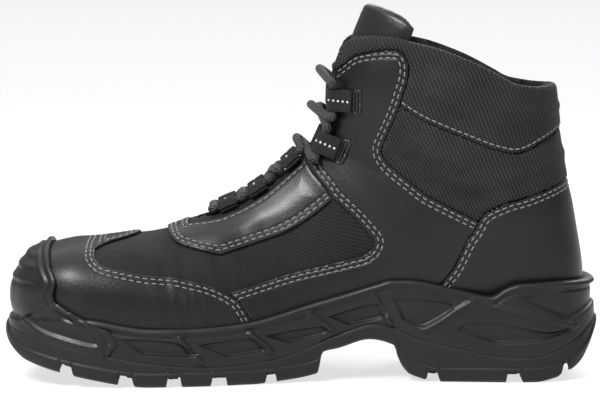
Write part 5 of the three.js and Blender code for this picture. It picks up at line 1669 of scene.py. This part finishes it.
class Upper:
    """The textile shell, its lining and the leather laid over it."""

    roll_size = (2.9, 2.7)
    roll_out = 0.6

    def __init__(self, palette: Palette) -> None:
        """Lays out the last's grids."""
        self.palette = palette
        self.fine = last_surface(LEATHER_CELL)
        self.coarse = last_surface(TEXTILE_CELL)

    def shell(self) -> None:
        """The textile shell and the lining inside it."""
        opening = Cut((OVER_SOLE,), (THROAT, OVER_COLLAR))
        cloth = Panel("side_textile", opening, 0.9, under=-0.9, puff=0.0, cell=TEXTILE_CELL)
        dress(cloth.build(self.coarse), self.palette.cloth, "textile", "upper")
        inner = Cut((Region(np.array([(-262.0, 8.0), (60.0, 8.0), (60.0, 320.0), (-262.0, 320.0)])),),
                    (THROAT, OVER_COLLAR))
        lining = Panel("lining", inner, 1.2, under=-LINING_WALL, puff=0.0, cell=TEXTILE_CELL, weave=Weave.ANKLE)
        dress(lining.build(self.coarse), self.palette.lining, "textile")

    def leather(self) -> None:
        """Vamp, facing, quarter and heel counter with their stitches."""
        clear = (THROAT, OVER_COLLAR)
        side = View.SIDE
        tongue = vamp_tongue()
        vamp_sewn = (
            (side_line(VAMP_SIDE), side), (side_line(VAMP_REAR[:-3]), side), (tongue.line[8:-8], View.PLAN),
        )
        vamp = Panel("vamp_leather", Cut((Either((SIDE_VAMP, tongue)), OVER_SOLE), clear, 1.2), VAMP_LEATHER,
                     seams=vamp_sewn)
        facing = Panel(
            "facing_leather", Cut((FACING, OVER_SOLE), (*clear, QUARTER), 1.2), FACING_LEATHER, puff=0.35,
            seams=((side_line(FACING_LOW), side), (side_line(FACING_FRONT), side), (side_line(THROAT_EDGE), side)),
        )
        quarter = Panel(
            "quarter_leather", Cut((QUARTER, OVER_SOLE), (*clear, SIDE_VAMP, COUNTER), 0.3), QUARTER_LEATHER,
            puff=0.4,
            seams=((side_line(TEXTILE_LOW), side), (side_line(QUARTER_TOP), side), (side_line(FACING_TOP), side)),
        )
        counter = Panel(
            "counter_leather", Cut((COUNTER, OVER_SOLE), clear, 1.2), COUNTER_LEATHER,
            seams=((side_line(COUNTER_TOP), side), (side_line(COUNTER_FRONT[:-2]), side)),
        )
        for panel, material, slot, node in (
            (vamp, self.palette.leather, "leather", "vamp"),
            (facing, self.palette.facing, "facing_leather", "facing"),
            (quarter, self.palette.leather, "leather", "quarter"),
            (counter, self.palette.leather, "leather", "heel_counter"),
        ):
            dress(panel.build(self.fine), material, slot, node)
            dress(sew(f"{node}_stitches", panel.rows, panel.style), self.palette.thread, slot)

    def pads(self) -> None:
        """The padded cloth at the ankle and the collar."""
        clear = (THROAT, OVER_COLLAR, QUARTER)
        ankle = Panel("ankle_padding", Cut((ANKLE, OVER_SOLE), (*clear, COUNTER, COLLAR), GAP), ANKLE_PAD, roll=3.5,
                      puff=1.2, puff_reach=16.0, weave=Weave.ANKLE)
        collar = Panel("collar_padding", Cut((COLLAR, OVER_SOLE), clear, GAP), COLLAR_PAD, roll=4.0, puff=1.6,
                       puff_reach=15.0, weave=Weave.ANKLE, seams=((side_line(COLLAR_SEAM), View.SIDE),),
                       style=StitchStyle(rows=(2.0,), pitch=3.6))
        for panel, node in ((ankle, "ankle_pad"), (collar, "collar_pad")):
            thing = dress(panel.build(self.fine), self.palette.collar, "padded_textile", node)
            if panel.rows:
                dress(sew(f"{node}_stitches", panel.rows, panel.style), self.palette.thread, "padded_textile")

    def rolled_edge(self) -> None:
        """The soft roll that closes the collar's top edge over the lining."""
        half_wall, half_height = self.roll_size
        surface = self.coarse
        over, _ = OVER_COLLAR.measure(surface.points)
        throat, _ = THROAT.measure(surface.points)
        allowed = (throat < -1.0) & (np.abs(over) < 12.0)
        line = max(contours(surface.lifted(self.roll_out), over, -half_height, allowed), key=len)
        line = even_line(line[::2], 1.2)
        ahead = unit(np.gradient(line, axis=0))
        across = unit(np.cross(ahead, [0.0, 0.0, 1.0]))
        upward = np.cross(across, ahead)
        angle = np.linspace(0, 2 * np.pi, 18, endpoint=False)[None, :, None]
        rings = line[:, None] + half_wall * np.cos(angle) * across[:, None] + half_height * np.sin(angle) * upward[:, None]
        thing = dress(tube("collar_roll", rings), self.palette.collar, "padded_textile")


@dataclass
class Tongue:
    """The padded tongue under the throat, flared at its top."""

    rows: int = 110
    across: int = 41
    roll: float = 5.0
    binding: float = 3.2
    puff: float = 0.5

    def end_shares(self, sides: np.ndarray) -> np.ndarray:
        """How far up the last each line of the tongue runs before its cut top."""
        trim = Region(box_line([TONGUE_TOP, ((0.300, 0.900), (0.0, 0.90)), ((0.0, FAR_UP), (0.480, FAR_UP)),
                                ((0.480, FAR_UP), TONGUE_TOP[0])]))
        probe = np.linspace(0.55, 1.0, 500)
        places, _, _ = self.surface(probe[:, None] + 0.0 * sides[None], sides[None] + 0.0 * probe[:, None])
        distance, _ = trim.measure(places)
        cut = distance > 0
        first_cut = np.where(cut.any(0), cut.argmax(0), len(probe) - 1)
        return probe[first_cut]

    def surface(self, share: np.ndarray, side: np.ndarray) -> tuple[np.ndarray, np.ndarray, np.ndarray]:
        """Middle surface of the padding, its outward directions and its thickness."""
        position = TONGUE_START + (len(LAST_ROWS) - 1 - TONGUE_START) * share
        spread = TONGUE_SPREAD[0] + (TONGUE_SPREAD[1] - TONGUE_SPREAD[0]) * share**2
        pad = TONGUE_PAD * (TONGUE_THIN + (1 - TONGUE_THIN) * np.sin(np.pi * share))
        dip = TONGUE_DIP * (1 - side**2) * (1 - share**3)
        sink = -LINING_WALL - TONGUE_EASE - dip - TONGUE_LEAN * share**3 - pad / 2
        turn = spread * side
        normal = LAST.normal(position, turn)
        return LAST.point(position, turn) + normal * sink[..., None], normal, pad

    def build(self) -> bpy.types.Object:
        """Lays the padded sheet out between its rims."""
        sides = np.sin(np.linspace(-np.pi / 2, np.pi / 2, self.across))
        reach = np.linspace(0, 1, self.rows)
        reach = 0.5 * reach + 0.5 * np.sin(reach * np.pi / 2)
        share = reach[:, None] * self.end_shares(sides)[None]
        side = sides[None] + 0.0 * share
        middle, normals, pad = self.surface(share, side)
        girth = np.concatenate((np.zeros((self.rows, 1)), np.cumsum(
            np.linalg.norm(np.diff(middle, axis=1), axis=-1), axis=1)), 1)
        length = np.concatenate((np.zeros((1, self.across)), np.cumsum(
            np.linalg.norm(np.diff(middle, axis=0), axis=-1), axis=0)))
        off = np.minimum(np.minimum(girth, girth[:, -1:] - girth), np.minimum(length, length[-1:] - length))
        crown = np.sqrt(1 - (1 - np.clip(off / self.roll, 0, 1)) ** 2)
        sewn = 0.55 * hill(off - self.binding, 0.6)
        half = np.maximum(pad / 2 * crown - np.where(off > 0, sewn * crown, 0.0), 0.0)
        half = half + self.puff * smooth(self.roll, 3 * self.roll, off)
        weave = np.stack([length, girth], -1)
        return pillow("tongue_padding", middle, normals, half, weave)


@dataclass
class Insole:
    """The felt-covered insole on the bed of the boot."""

    first_row: float = 1.1
    last_row: float = 15.6
    width: float = 0.155
    rows: int = 90
    across: int = 25

    def build(self) -> bpy.types.Object:
        """Lays the sheet along the bottom of the last."""
        position = np.linspace(self.first_row, self.last_row, self.rows)[:, None]
        ends = np.sqrt(1 - np.clip(np.abs(np.linspace(-1, 1, self.rows)), 0, 1)[:, None] ** 6)
        sides = np.linspace(-1, 1, self.across)[None]
        turn = 0.5 + self.width * sides * np.maximum(ends, 0.05)
        position = position + 0.0 * turn
        normals = LAST.normal(position, turn)
        half = INSOLE_THICKNESS / 2 * np.sqrt(1 - sides**8) * ends
        inwards = LINING_WALL + GAP + INSOLE_THICKNESS / 2
        middle = LAST.point(position, turn) - normals * inwards
        return pillow("insole_felt", middle, normals, half, middle[..., :2])


@dataclass(frozen=True)
class LaceLoop:
    """One webbing loop at the throat, as the frame has it."""

    up: float
    side: float
    end: float
    lean: float
    over: float
    width: float
    on_edge: bool
    dots: int

    def frame(self, sign: int) -> tuple[np.ndarray, np.ndarray, np.ndarray, np.ndarray, float]:
        """Place and axes of the loop on the inner side, sign 1, or the outer side, sign -1.

        Args:
            sign: the side of the boot.

        Returns:
            The eye's centre, the directions out, down the side and up the throat, and the strap's reach.
        """
        if self.on_edge:
            line = side_line(THROAT_EDGE, steps=40)
            spot = int(np.argmin(np.abs(line[:, 1] - up_to_z(self.up))))
            ahead = unit(line[spot + 1] - line[spot - 1])
            run = np.array([ahead[0], 0.0, ahead[1]])
            out = np.array([-ahead[1], 0.0, ahead[0]])
            place = np.array([line[spot, 0], -sign * self.side, line[spot, 1]])
            return place + out * (GAP + EDGE_REST + EYE_HEIGHT), out, np.array([0.0, -sign, 0.0]), run, self.end - self.side
        position = LAST.position_at_up(self.up)
        eye_turn = sign * LAST.turn_at_side(position, self.side)
        end_turn = sign * LAST.turn_at_side(position + self.lean, self.end)
        rest = GAP + QUARTER_LEATHER + STRAP_REST
        seat = LAST.at(position, eye_turn, rest)
        down = LAST.at(position + self.lean, end_turn, rest) - seat
        reach = float(np.linalg.norm(down))
        down = unit(down)
        surface = LAST.normal(np.array(position), np.array((eye_turn + end_turn) / 2))
        run = unit(np.cross(surface, down))
        run = run if run[2] > 0 else -run
        out = unit(np.cross(down, run))
        out = out if out @ surface > 0 else -out
        return seat + out * EYE_HEIGHT, out, down, run, reach

    def strap_line(self, reach: float) -> np.ndarray:
        """The strap's middle line in the plane of its down and out directions, from its upper end round the eye."""
        wide, high = EYE_RING - WEBBING / 2, EYE_HEIGHT - WEBBING / 2
        tip = np.array([reach, 1.5 * WEBBING - EYE_HEIGHT])
        rounded = np.array([tip[0], tip[1] * wide / high])
        touch = math.atan2(rounded[1], rounded[0]) + math.acos(wide / math.hypot(*rounded))
        angles = np.linspace(touch, 1.5 * np.pi, 34)
        arc = np.stack([wide * np.cos(angles), high * np.sin(angles)], 1)
        upper = np.linspace(tip, arc[0], 14)[:-1]
        lower = np.linspace(arc[-1], [reach, -high], 12)[1:]
        return np.concatenate((upper, arc, lower))

    def strap(self, name: str, sign: int) -> bpy.types.Object:
        """The strap with soft rounded edges."""
        eye, out, down, run, reach = self.frame(sign)
        line = self.strap_line(reach)
        centre = eye + line[:, :1] * down + line[:, 1:] * out
        ahead = unit(np.gradient(centre, axis=0))
        thick = unit(np.cross(ahead, run))
        angle = np.linspace(0, 2 * np.pi, 28, endpoint=False)
        wide = np.sign(np.cos(angle)) * np.abs(np.cos(angle)) ** 0.35 * (self.width / 2)
        deep = np.sign(np.sin(angle)) * np.abs(np.sin(angle)) ** 0.75 * (WEBBING / 2 - 0.03)
        rings = centre[:, None] + wide[None, :, None] * run + deep[None, :, None] * thick[:, None]
        return tube(name, rings)

    def dot_frames(self, sign: int) -> tuple[np.ndarray, np.ndarray]:
        """Places and axes of the reflective dots along the strap."""
        eye, out, down, run, reach = self.frame(sign)
        line = self.strap_line(reach)
        centre = eye + line[:, :1] * down + line[:, 1:] * out
        ahead = unit(np.gradient(centre, axis=0))
        thick = unit(np.cross(ahead, run))
        thick *= np.sign((thick * (centre - eye)).sum(1) + 1e-6)[:, None]
        where = ring_run(centre)
        first_dot = 1.9 if self.dots > 2 else where[-1] * 0.30 - 1.3 * (self.dots - 1)
        wanted = first_dot + 2.6 * np.arange(self.dots)

        def at(values: np.ndarray) -> np.ndarray:
            """Vectors of the strap at the dots."""
            return np.stack([np.interp(wanted, where, values[:, axis]) for axis in range(3)], 1)

        up, forward = unit(at(thick)), unit(at(ahead))
        frames = np.stack([forward, unit(np.cross(up, forward)), up], -1)
        return at(centre) + up * (WEBBING / 2 + 0.02), frames

    def crossing(self, sign: int, upward: int) -> list[np.ndarray]:
        """Points where the lace leaves the loop's eye, up or down the throat."""
        eye, out, _, run, _ = self.frame(sign)
        near = self.width / 2 + 1.0
        rise = 0.4 if self.on_edge else 2.0
        return [eye + run * upward * near, eye + run * upward * (near + 2.6) + out * rise]

    def instep_up(self) -> float:
        """Height of the loop's place on the instep line, as a share of the upper's height."""
        if not self.on_edge:
            return self.up
        eye = self.frame(1)[0]
        places = np.linspace(6, len(LAST_ROWS) - 1, 2000)
        tops = catmull_rom(LAST_ROWS, places)
        return float(np.interp(eye[0], along_to_x(tops[:, 0]), tops[:, 1]))


LACE_LOOPS = (
    LaceLoop(0.424, 11.0, 15.5, 0.00, -1.7, 10.0, True, 1),
    LaceLoop(0.476, 11.0, 15.5, 0.00, -1.3, 10.0, True, 2),
    LaceLoop(0.566, 11.0, 15.5, 0.00, 2.0, 10.0, True, 2),
    LaceLoop(0.677, 15.9, 20.6, 0.29, 1.8, 11.5, False, 5),
    LaceLoop(0.812, 18.7, 25.4, 0.23, 0.0, 11.5, False, 5),
)


class Lacing:
    """The webbing loops, their dots and welts, and the lace that runs through them."""

    strand_gap = 2.25
    welt_size = (2.1, 6.2)
    welt_radius = 0.75

    def __init__(self, palette: Palette) -> None:
        """Keeps the finishes."""
        self.palette = palette

    def over_tongue(self, up: float, lift: float) -> np.ndarray:
        """Point over the middle of the tongue."""
        return LAST.at(LAST.position_at_up(up), 0.0, lift)

    def lace_line(self) -> np.ndarray:
        """The lace's middle line, from one hidden end to the other in the highest outer eye."""
        top = len(LACE_LOOPS) - 1

        def eye(number: int, sign: int) -> np.ndarray:
            """Centre of a loop's eye."""
            return LACE_LOOPS[number].frame(sign)[0]

        points = [eye(top, -1) - LACE_LOOPS[top].frame(-1)[3] * 1.2]
        sign = -1
        for number in range(top, 0, -1):
            lower, upper = LACE_LOOPS[number - 1], LACE_LOOPS[number]
            up = (lower.instep_up() + upper.instep_up()) / 2
            points += upper.crossing(sign, -1)
            points.append(self.over_tongue(up, lower.over + self.strand_gap * -1))
            sign = -sign
            points += lower.crossing(sign, 1)[::-1]
            points.append(eye(number - 1, sign))
        low = LACE_LOOPS[0]
        points += low.crossing(sign, -1)
        points.append(self.over_tongue(low.instep_up() - LOW_BAR_DROP, LOW_BAR_LIFT))
        sign = -sign
        points += low.crossing(sign, -1)[::-1]
        points.append(eye(0, sign))
        for number in range(1, top + 1):
            lower, upper = LACE_LOOPS[number - 1], LACE_LOOPS[number]
            up = (lower.instep_up() + upper.instep_up()) / 2
            points += lower.crossing(sign, 1)
            points.append(self.over_tongue(up, lower.over + self.strand_gap))
            sign = -sign
            points += upper.crossing(sign, -1)[::-1]
            points.append(eye(number, sign))
        high = LACE_LOOPS[top]
        points += high.crossing(sign, 1)
        points.append(self.over_tongue(high.up + BAR_RISE, BAR_LIFT))
        points += high.crossing(-sign, 1)[::-1]
        points.append(eye(top, -sign) + high.frame(-sign)[3] * 1.2)
        return np.array(points)

    def lace(self) -> None:
        """The round lace."""
        line = even_line(self.lace_line(), 0.9)
        rings = round_rings(line, LACE_DIAMETER / 2, LACE_SIDES)
        for loop in LACE_LOOPS:
            for sign in (1, -1):
                eye, out, _, run, _ = loop.frame(sign)
                along = np.abs((line - eye) @ run)
                held = (1 - smooth(loop.width / 2, loop.width / 2 + 2.5, along)) * (np.linalg.norm(line - eye, axis=1) < 12)
                height = (rings - line[:, None]) @ out
                rings = rings - ((1 - EYE_SQUASH) * held[:, None] * height)[..., None] * out
        thing = tube("shoe_lace", rings)
        nodes = ["lace_bar_low", "lace_bar_top", *[f"lace_crossing_{number}" for number in range(1, 5)]]
        dress(thing, self.palette.lace, "lace", *nodes)

    def loops(self) -> None:
        """The straps and their reflective dots."""
        places, frames = [], []
        for number, loop in enumerate(LACE_LOOPS, 1):
            for word, sign in (("inner", 1), ("outer", -1)):
                strap = loop.strap(f"webbing_loop_{word}_{number}", sign)
                dress(strap, self.palette.webbing, "webbing", f"lace_loop_{word}_{number}")
                place, axes = loop.dot_frames(sign)
                places.append(place)
                frames.append(axes)
        bm = bmesh.new()
        bmesh.ops.create_uvsphere(bm, u_segments=12, v_segments=6, radius=0.64)
        bmesh.ops.scale(bm, vec=(1.0, 1.0, 0.3), verts=bm.verts)
        template = (np.array([vert.co[:] for vert in bm.verts]), [tuple(v.index for v in face.verts) for face in bm.faces])
        bm.free()
        dots = scattered("reflective_dots", template, np.concatenate(places), np.concatenate(frames))
        dress(dots, self.palette.dot, "webbing")

    def welts(self) -> None:
        """Raised rims of the slots that the two highest straps go into."""
        for number, loop in enumerate(LACE_LOOPS, 1):
            if loop.on_edge:
                continue
            for word, sign in (("inner", 1), ("outer", -1)):
                _, _, down, run, _ = loop.frame(sign)
                position = LAST.position_at_up(loop.up) + loop.lean
                turn = sign * LAST.turn_at_side(position, loop.end)
                seat = LAST.at(position, turn, GAP + QUARTER_LEATHER + 0.45)
                surface = LAST.normal(np.array(position), np.array(turn))
                along = unit(down - surface * (down @ surface))
                across = unit(np.cross(surface, along))
                angle = np.linspace(0, 2 * np.pi, 49)
                wide, long = self.welt_size
                shape = np.stack([
                    np.sign(np.cos(angle)) * np.abs(np.cos(angle)) ** 0.6 * wide + wide,
                    np.sign(np.sin(angle)) * np.abs(np.sin(angle)) ** 0.45 * long,
                ], 1)
                bend = 0.5 * shape[:, 1] ** 2 / 90.0
                line = seat + shape[:, :1] * along + shape[:, 1:] * across - bend[:, None] * surface
                rim = tube(f"slot_welt_{word}_{number}", round_rings(line, self.welt_radius, 10))
                dress(rim, self.palette.facing, "facing_leather")
                reach = np.linspace(-0.85 * long, 0.85 * long, 15)[:, None]
                middle = seat + wide * along + reach * across - reach**2 / 180.0 * surface
                bar = tube(f"slot_bar_{word}_{number}", round_rings(middle, 0.8 * self.welt_radius, 8))
                dress(bar, self.palette.facing, "facing_leather")

    def build(self) -> None:
        """Builds the lacing."""
        self.loops()
        self.welts()
        self.lace()


@dataclass
class Studio:
    """A pale floor and soft light, with the camera at the photograph's place."""

    camera_at: tuple[float, float, float] = (-0.103, -1.5, 0.258)
    aim_at: tuple[float, float, float] = (-0.103, 0.0, 0.092)
    lens: float = 170.0
    sensor: float = 36.0

    def camera(self) -> None:
        """Sets the camera."""
        data = bpy.data.cameras.new("camera")
        data.lens = self.lens
        data.sensor_width = self.sensor
        thing = bpy.data.objects.new("camera", data)
        thing.location = self.camera_at
        aim = Vector(self.aim_at) - Vector(self.camera_at)
        thing.rotation_euler = aim.to_track_quat("-Z", "Y").to_euler()
        bpy.context.scene.collection.objects.link(thing)
        bpy.context.scene.camera = thing

    def floor(self) -> None:
        """Lays the floor under and behind the boot."""
        bm = bmesh.new()
        bmesh.ops.create_grid(bm, x_segments=2, y_segments=2, size=6000.0)
        thing = to_object("floor", bm)
        f = Finish("floor_paper")
        noise = f.noise(f.place(), 90.0, 2.0)
        thing.data.materials.append(f.done(f.colour(noise, (0.26, 0.26, 0.26), (0.28, 0.28, 0.28)), 0.5,
                                           Emission_Color=(1.0, 1.0, 1.0, 1.0), Emission_Strength=0.69))

    def light(self, name: str, place: Sequence[float], size: float, power: float, aim: Sequence[float]) -> None:
        """Adds one soft area light."""
        data = bpy.data.lights.new(name, "AREA")
        data.shape = "DISK"
        data.size = size
        data.energy = power
        thing = bpy.data.objects.new(name, data)
        thing.location = place
        thing.rotation_euler = (Vector(aim) - Vector(place)).to_track_quat("-Z", "Y").to_euler()
        bpy.context.scene.collection.objects.link(thing)

    def build(self) -> None:
        """Builds the studio."""
        self.camera()
        self.floor()
        middle = (-0.1, 0.0, 0.09)
        self.light("key", (-0.75, -0.9, 1.25), 0.55, 38.0, middle)
        self.light("fill", (0.9, -1.1, 0.8), 0.9, 3.5, middle)
        self.light("rim", (0.45, 1.1, 0.9), 0.8, 7.0, middle)
        self.light("ceiling", (-0.1, 2.2, 3.2), 7.5, 150.0, (-0.1, 2.2, 0.0))
        world = bpy.data.worlds.new("studio")
        world.use_nodes = True
        world.node_tree.nodes["Background"].inputs[0].default_value = (1.0, 1.0, 1.0, 1.0)
        world.node_tree.nodes["Background"].inputs[1].default_value = 0.24
        bpy.context.scene.world = world
        bpy.context.scene.view_settings.view_transform = "Standard"


def main() -> None:
    """Builds the boot around its frame."""
    logging.basicConfig(level=logging.INFO, format="%(message)s")
    Studio().build()
    palette = Palette()
    upper = Upper(palette)
    upper.shell()
    upper.leather()
    upper.pads()
    upper.rolled_edge()
    tongue = dress(Tongue().build(), palette.tongue, "tongue", "tongue")
    dress(Insole().build(), palette.felt, "insole", "insole")
    Lacing(palette).build()
    form = SoleForm()
    leather_tree = upper.fine.tree(GAP + QUARTER_LEATHER)
    dress(Midsole(form).build(leather_tree), palette.midsole, "midsole", "midsole")
    dress(Outsole(form).build(), palette.outsole, "outsole", "outsole")
    dress(ScuffCap(upper.fine, form).build(), palette.cap, "scuff_cap", "toe_scuff_cap")


if __name__ == "__main__":
    main()
